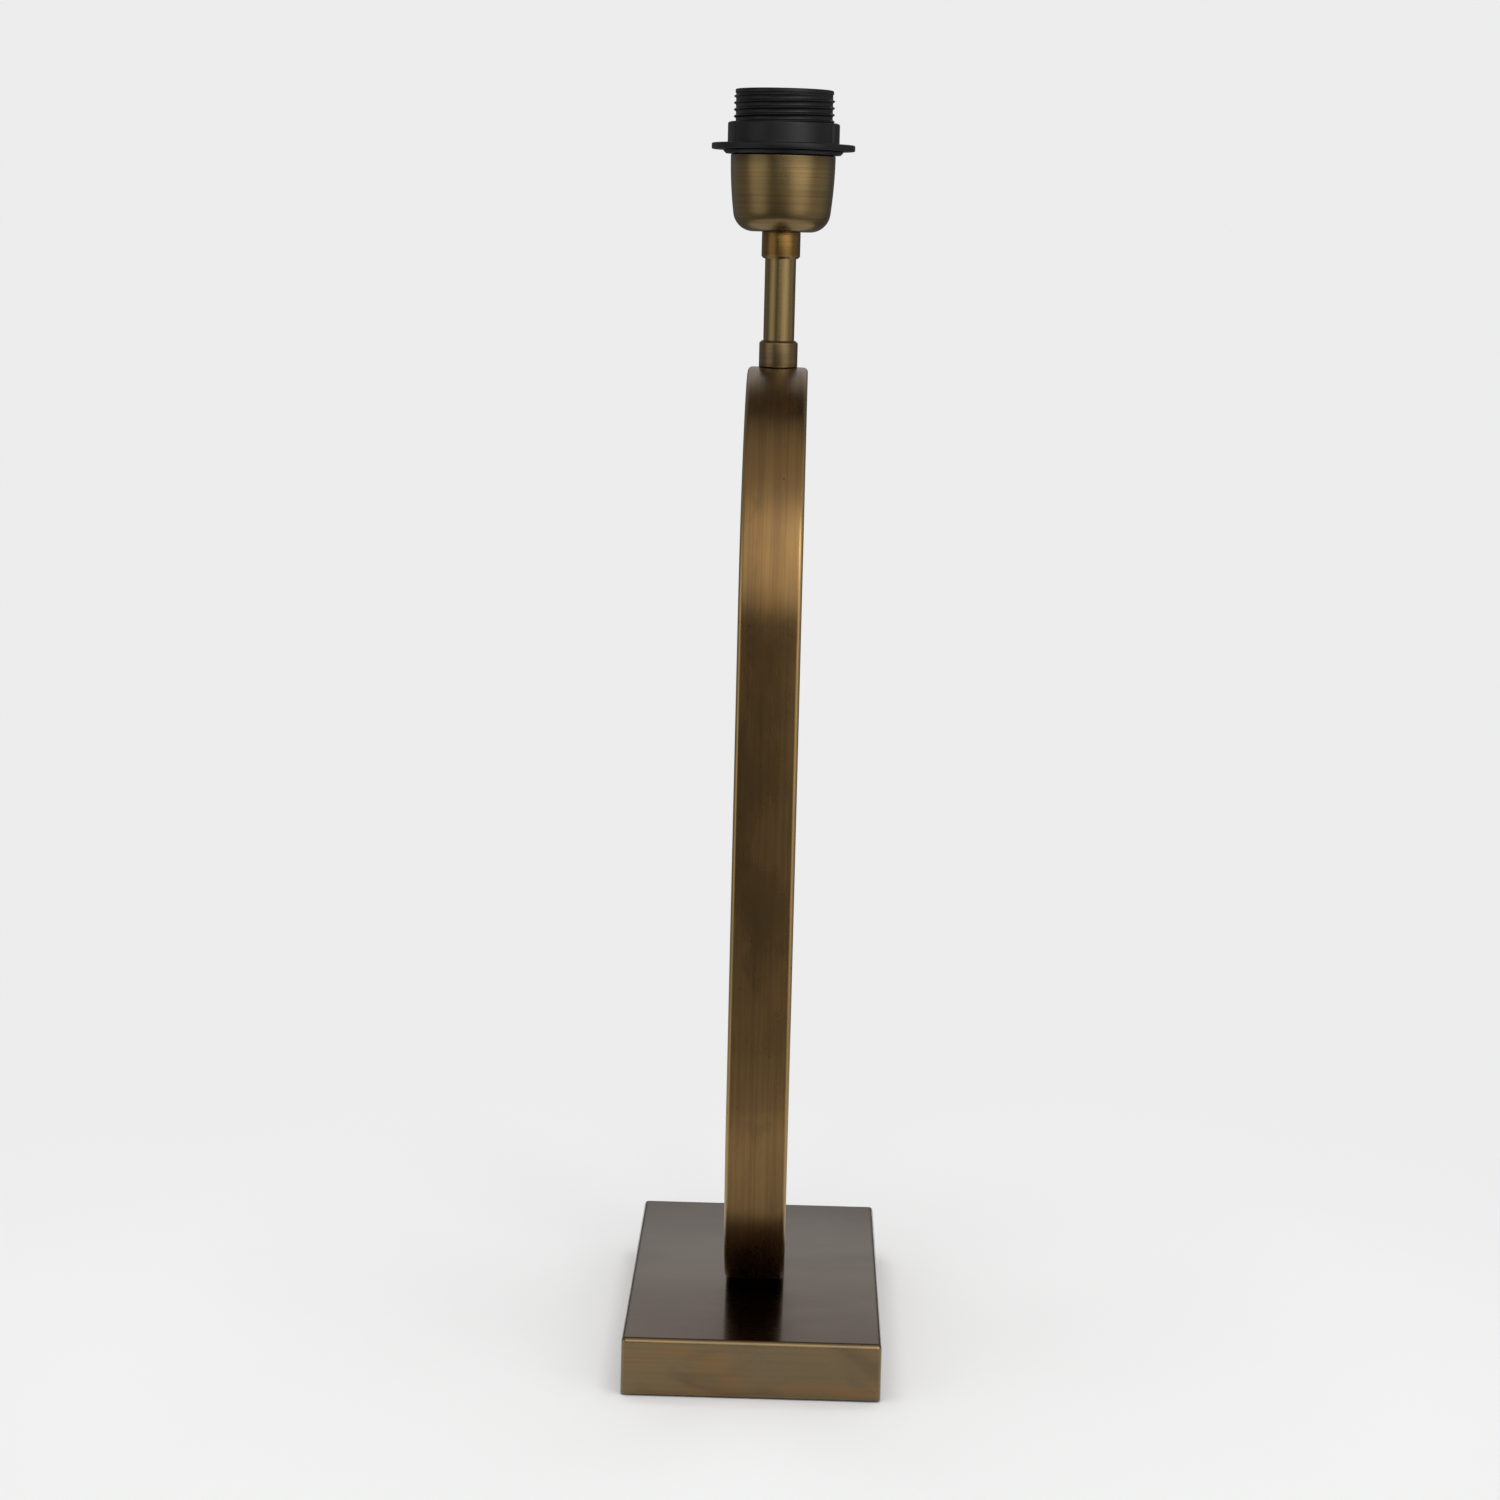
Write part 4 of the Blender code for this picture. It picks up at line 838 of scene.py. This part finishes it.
# Stores across, outward and along the loop on each vertex, for the brushing.
def markLengthwise(mesh, upper, lower, radius):
    attribute = mesh.attributes.new("lengthwise", "FLOAT_VECTOR", "POINT")
    for mark, vert in zip(attribute.data, mesh.vertices):
        x, y, z = vert.co
        if z > upper:
            out = math.hypot(y, z - upper)
            along = upper + radius * math.atan2(z - upper, abs(y))
        elif z < lower:
            out = math.hypot(y, lower - z)
            along = lower - radius * math.atan2(lower - z, abs(y))
        else:
            out = abs(y)
            along = z
        mark.vector = (x, out, along)


makeLoop()

print("stem and cup")
collar = {
    "bore": 4.8 * mm,
    "seatBore": 6.3 * mm,
    "seat": 2.2 * mm,
    "chamfer": 0.9 * mm,
    "soft": 0.25 * mm,
    "reach": 0.28 * mm,  # over the play, nearly to the next piece
    "sides": 96,
}


def makeCollar(name, node, mat, upsideDown):
    low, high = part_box(node)
    radius = high.x
    height = high.z - low.z
    soft = collar["soft"]
    step = height - collar["seat"]
    corners = [(collar["bore"], -collar["reach"], 0), (radius, -collar["reach"], soft),
               (radius, height - collar["chamfer"], soft), (radius - collar["chamfer"], height, soft),
               (collar["seatBore"], height, 0), (collar["seatBore"], step, 0),
               (collar["bore"], step, 0)]
    if upsideDown:
        corners = [(r, height - z, rounding) for r, z, rounding in reversed(corners)]
    bm = bmesh.new()
    spinOutline(bm, roundedOutline(corners), collar["sides"])
    bmesh.ops.translate(bm, vec=(0, 0, low.z), verts=bm.verts)
    finishPiece(name, bm, mat, node, sharp=30)


stem = {"wall": 1.0 * mm, "sides": 96}


def makeStem():
    low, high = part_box("stem_tube")
    inside = high.x - stem["wall"]
    bm = bmesh.new()
    outline = [(inside, low.z), (high.x, low.z), (high.x, high.z), (inside, high.z)]
    spinOutline(bm, outline, stem["sides"])
    finishPiece("stemTube", bm, finishes["stem"], "stem_tube")


cup = {
    "corner": 8.0 * mm,
    "cornerSteps": 10,
    "sideFoot": 8.8 * mm,
    "sideSteps": 10,
    "flare": 1.25 * mm,
    "wall": 1.2 * mm,
    "edge": 0.45 * mm,
    "bore": 5.1 * mm,
    "sides": 144,
}


def makeCup():
    low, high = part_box("holder_cup")
    wall = cup["wall"]
    height = high.z - low.z
    rim = high.x
    side = height - cup["sideFoot"]
    waist = rim - cup["flare"]
    foot = waist - 2 * cup["flare"] / side * cup["sideFoot"]  # the side's tangent meets the bottom
    corners = [(cup["bore"], 0, 0), (foot, 0, cup["corner"])]
    for step in range(cup["sideSteps"]):
        share = step / cup["sideSteps"]
        corners.append((rim - cup["flare"] * (1 - share) ** 2, cup["sideFoot"] + side * share, 0))
    corners += [(rim, height, cup["edge"]), (rim - wall, height, cup["edge"]),
                (waist - wall, height / 2, 0), (foot - wall, wall, cup["corner"] - 2 * wall),
                (cup["bore"], wall, 0)]
    bm = bmesh.new()
    spinOutline(bm, roundedOutline(corners, cup["cornerSteps"]), cup["sides"])
    bmesh.ops.translate(bm, vec=(0, 0, low.z), verts=bm.verts)
    finishPiece("holderCup", bm, finishes["turned"], "holder_cup", sharp=35)


makeCollar("lowerCollar", "lower_collar", finishes["darkCollar"], False)
makeCollar("upperCollar", "upper_collar", finishes["collar"], True)
makeStem()
makeCup()

print("lampholder")
barrel = {
    "crest": 19.75 * mm,  # the outer thread
    "root": 18.95 * mm,
    "pitch": 2.6 * mm,
    "phase": 2.8 * mm,
    "fade": 1.1 * mm,
    "turnSteps": 96,
    "lead": 1.7 * mm,  # the plain end above it
    "leadProud": 0.3 * mm,
    "edge": 0.5 * mm,
    "rim": 3.0 * mm,
    "mouth": 14.8 * mm,
    "mouthDepth": 1.8 * mm,
    "lampMinor": 12.3 * mm,  # the thread for the lamp
    "lampDepth": 1.0 * mm,
    "lampPitch": 3.63 * mm,
    "lampStart": 2.0 * mm,
    "sleeve": 15.0 * mm,
    "insertDrop": 2.4 * mm,
    "seatDrop": 23.3 * mm,  # from the top down to the shoulder
    "shoulder": 23.4 * mm,
    "shoulderThick": 1.6 * mm,
    "shoulderEdge": 0.3 * mm,
    "chamfer": 0.9 * mm,
    "chamferEdge": 0.2 * mm,
    "cap": 18.15 * mm,
    "skirtDrop": 8.3 * mm,
    "skirtBore": 16.5 * mm,
    "joint": 0.05 * mm,  # between two rims that are bridged
}

# Ridges as shares of the pitch and of the depth
ridgeShape = [(0, 0), (0.18, 0), (0.27, 0.16), (0.36, 0.58), (0.43, 0.91), (0.50, 1), (0.57, 0.91),
              (0.64, 0.58), (0.73, 0.16), (0.82, 0), (1, 0)]
lampSteps = 12
lampShape = [(step / lampSteps, (1 - math.cos(fullTurn * step / lampSteps)) / 2)
             for step in range(lampSteps + 1)]


# The points that a bmesh has gained
def newPoints(bm, before):
    return [vert for vert in bm.verts if vert not in before]


# A helical wall between two heights, whose ridges fade out at both ends. The cuts there take
# points that they nearly touch onto their planes, so that no two points are left close together.
def threadWall(bm, radius, depth, pitch, shape, low, high, crestHeight):
    before = set(bm.verts)
    turns = math.ceil((high - low) / pitch) + 2
    start = crestHeight - pitch * math.ceil((crestHeight - low) / pitch + 1)
    points = [bm.verts.new((radius + depth * tall, 0, start + pitch * share)) for share, tall in shape]
    edges = [bm.edges.new(pair) for pair in zip(points, points[1:])]
    steps = barrel["turnSteps"]
    bmesh.ops.spin(bm, geom=points + edges, axis=(0, 0, 1), cent=origin, angle=fullTurn,
                   dvec=(0, 0, pitch / steps), steps=steps, use_merge=False, use_duplicate=False)
    wall = newPoints(bm, before)
    firstTurn = wall + eachOnce(face for vert in wall for face in vert.link_faces)
    for turn in range(1, turns):
        grown = bmesh.ops.duplicate(bm, geom=firstTurn)["geom"]
        copied = [part for part in grown if isinstance(part, bmesh.types.BMVert)]
        bmesh.ops.translate(bm, vec=(0, 0, pitch * turn), verts=copied)
    bmesh.ops.remove_doubles(bm, verts=newPoints(bm, before), dist=touching)
    for height, way in ((low, -1), (high, 1)):
        wall = newPoints(bm, before)
        geom = wall + eachOnce(edge for vert in wall for edge in vert.link_edges)
        geom += eachOnce(face for vert in wall for face in vert.link_faces)
        bmesh.ops.bisect_plane(bm, geom=geom, dist=touching, plane_co=(0, 0, height),
                               plane_no=(0, 0, way), use_snap_center=True, clear_outer=True)
    wall = newPoints(bm, before)
    for vert in wall:
        near = min(1, (vert.co.z - low) / barrel["fade"], (high - vert.co.z) / barrel["fade"])
        here = math.hypot(vert.co.x, vert.co.y)
        share = (radius + (here - radius) * near * near * (3 - 2 * near)) / here
        vert.co.x *= share
        vert.co.y *= share
    return wall


# The open edges of a wall at one height
def openLoop(wall, height):
    edges = eachOnce(edge for vert in wall for edge in vert.link_edges if edge.is_boundary)
    return [edge for edge in edges if all(abs(vert.co.z - height) < touching for vert in edge.verts)]


# Grows an open loop through an outline of (radius, height) points.
def growLoop(bm, edges, outline):
    for radius, height in outline:
        points, edges = extrudeRim(bm, edges)
        for vert in points:
            here = math.hypot(vert.co.x, vert.co.y)
            vert.co = (vert.co.x * radius / here, vert.co.y * radius / here, height)
    return edges


# Both threads, joined over the mouth, and down the inside and round the skirt to the shoulder
def makeBarrel():
    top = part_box("holder_barrel")[1].z
    seat = top - barrel["seatDrop"]
    threadEnd = top - barrel["lead"]
    lead = barrel["root"] + barrel["leadProud"]
    foot = seat - barrel["insertDrop"]
    lampLow = foot + barrel["lampStart"]
    lampHigh = top - barrel["mouthDepth"]
    rim = top - barrel["rim"]
    under = seat - barrel["shoulderThick"]
    skirt = under - barrel["skirtDrop"]
    soft = barrel["shoulderEdge"]
    depth = barrel["crest"] - barrel["root"]
    crestHeight = top - barrel["phase"] - barrel["pitch"]
    bm = bmesh.new()
    outer = threadWall(bm, barrel["root"], depth, barrel["pitch"], ridgeShape,
                       seat + barrel["joint"], threadEnd, crestHeight)
    inner = threadWall(bm, barrel["lampMinor"], barrel["lampDepth"], barrel["lampPitch"], lampShape,
                       lampLow, lampHigh, lampHigh)
    mouth = [(barrel["root"], threadEnd, 0), (lead, threadEnd + barrel["leadProud"], 0),
             (lead, top, barrel["edge"]), (barrel["mouth"], top, barrel["edge"]),
             (barrel["lampMinor"], lampHigh + barrel["joint"], 0)]
    edges = growLoop(bm, openLoop(outer, threadEnd), roundedOutline(mouth)[1:])
    bmesh.ops.bridge_loops(bm, edges=edges + openLoop(inner, lampHigh))
    inside = [(barrel["lampMinor"], foot, 0), (barrel["sleeve"], foot, 0), (barrel["sleeve"], rim, 0),
              (barrel["skirtBore"], rim, 0), (barrel["skirtBore"], skirt, soft),
              (barrel["cap"], skirt, soft), (barrel["cap"], under, 0),
              (barrel["shoulder"] - barrel["chamfer"], under, barrel["chamferEdge"]),
              (barrel["shoulder"], under + barrel["chamfer"], soft), (barrel["shoulder"], seat, soft),
              (barrel["root"], seat, 0)]
    edges = growLoop(bm, openLoop(inner, lampLow), roundedOutline(inside))
    bmesh.ops.bridge_loops(bm, edges=edges + openLoop(outer, seat + barrel["joint"]))
    finishPiece("holderBarrel", bm, finishes["plastic"], "holder_barrel",
                sharp=38)


ring = {
    "bore": 20.05 * mm,
    "boreEdge": 0.4 * mm,
    "wall": 1.2 * mm,
    "topEdge": 0.78 * mm,
    "recess": 0.3 * mm,
    "recessRadius": 24.0 * mm,
    "recessEdge": 0.1 * mm,
    "flangeThick": 2.4 * mm,
    "flangeEdge": 0.5 * mm,
    "fillet": 0.8 * mm,
    "lug": 0.65 * mm,
    "lugHalf": 26,  # degrees to either side of its middle
    "edgeSteps": 5,
    "sides": 144,
}


# Pushes the wall out on two opposite sides.
def pushLugs(bm, radius):
    wallFoot = ring["flangeThick"] - touching
    wallEnd = radius + ring["fillet"] + touching
    for vert in bm.verts:
        here = math.hypot(vert.co.x, vert.co.y)
        turn = math.degrees(math.atan2(vert.co.y, vert.co.x)) % 180
        onLug = min(turn, 180 - turn) < ring["lugHalf"]
        if onLug and vert.co.z > wallFoot and here < wallEnd:
            share = min(1, (here - ring["bore"]) / ring["wall"])
            vert.co.x *= 1 + ring["lug"] * share / here
            vert.co.y *= 1 + ring["lug"] * share / here


# The shade ring: turned, then its two grip lugs are pushed out
def makeRing():
    low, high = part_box("shade_ring")
    flange = high.x
    height = high.z - low.z
    radius = ring["bore"] + ring["wall"]
    corners = [(ring["bore"], ring["recess"], ring["boreEdge"] / 2),
               (ring["recessRadius"], ring["recess"], 0), (ring["recessRadius"], 0, ring["recessEdge"]),
               (flange, 0, ring["flangeEdge"]), (flange, ring["flangeThick"], ring["flangeEdge"]),
               (radius, ring["flangeThick"], ring["fillet"]), (radius, height, ring["topEdge"]),
               (ring["bore"], height, ring["boreEdge"])]
    bm = bmesh.new()
    spinOutline(bm, roundedOutline(corners, ring["edgeSteps"]), ring["sides"])
    pushLugs(bm, radius)
    bmesh.ops.translate(bm, vec=(0, 0, low.z), verts=bm.verts)
    finishPiece("shadeRing", bm, finishes["plastic"], "shade_ring", "shade_ring", 30)


makeBarrel()
makeRing()

finishOf = {
    "zinc_steel": "steel",
    "contact_brass": "contact",
    "insulator": "insulator",
    "black_plastic": "plastic",
    "black_felt": "felt",
    "cast_iron": "iron",
    "black_rubber": "rubber",
    "brown_insulation": "brownWire",
    "blue_insulation": "blueWire",
    "antique_brass": "turned",
}


# The solids that stay get their finish in their own slots.
def dressNodes():
    slots = {part["node"]: part["material_slot"] for part in frame["record"]["subparts"]}
    for name, node in nodes.items():
        mat = finishes[finishOf[slots[name]]]
        if not node.material_slots:
            node.data.materials.append(mat)
        for place in node.material_slots:
            place.material = mat


dressNodes()

print("done")
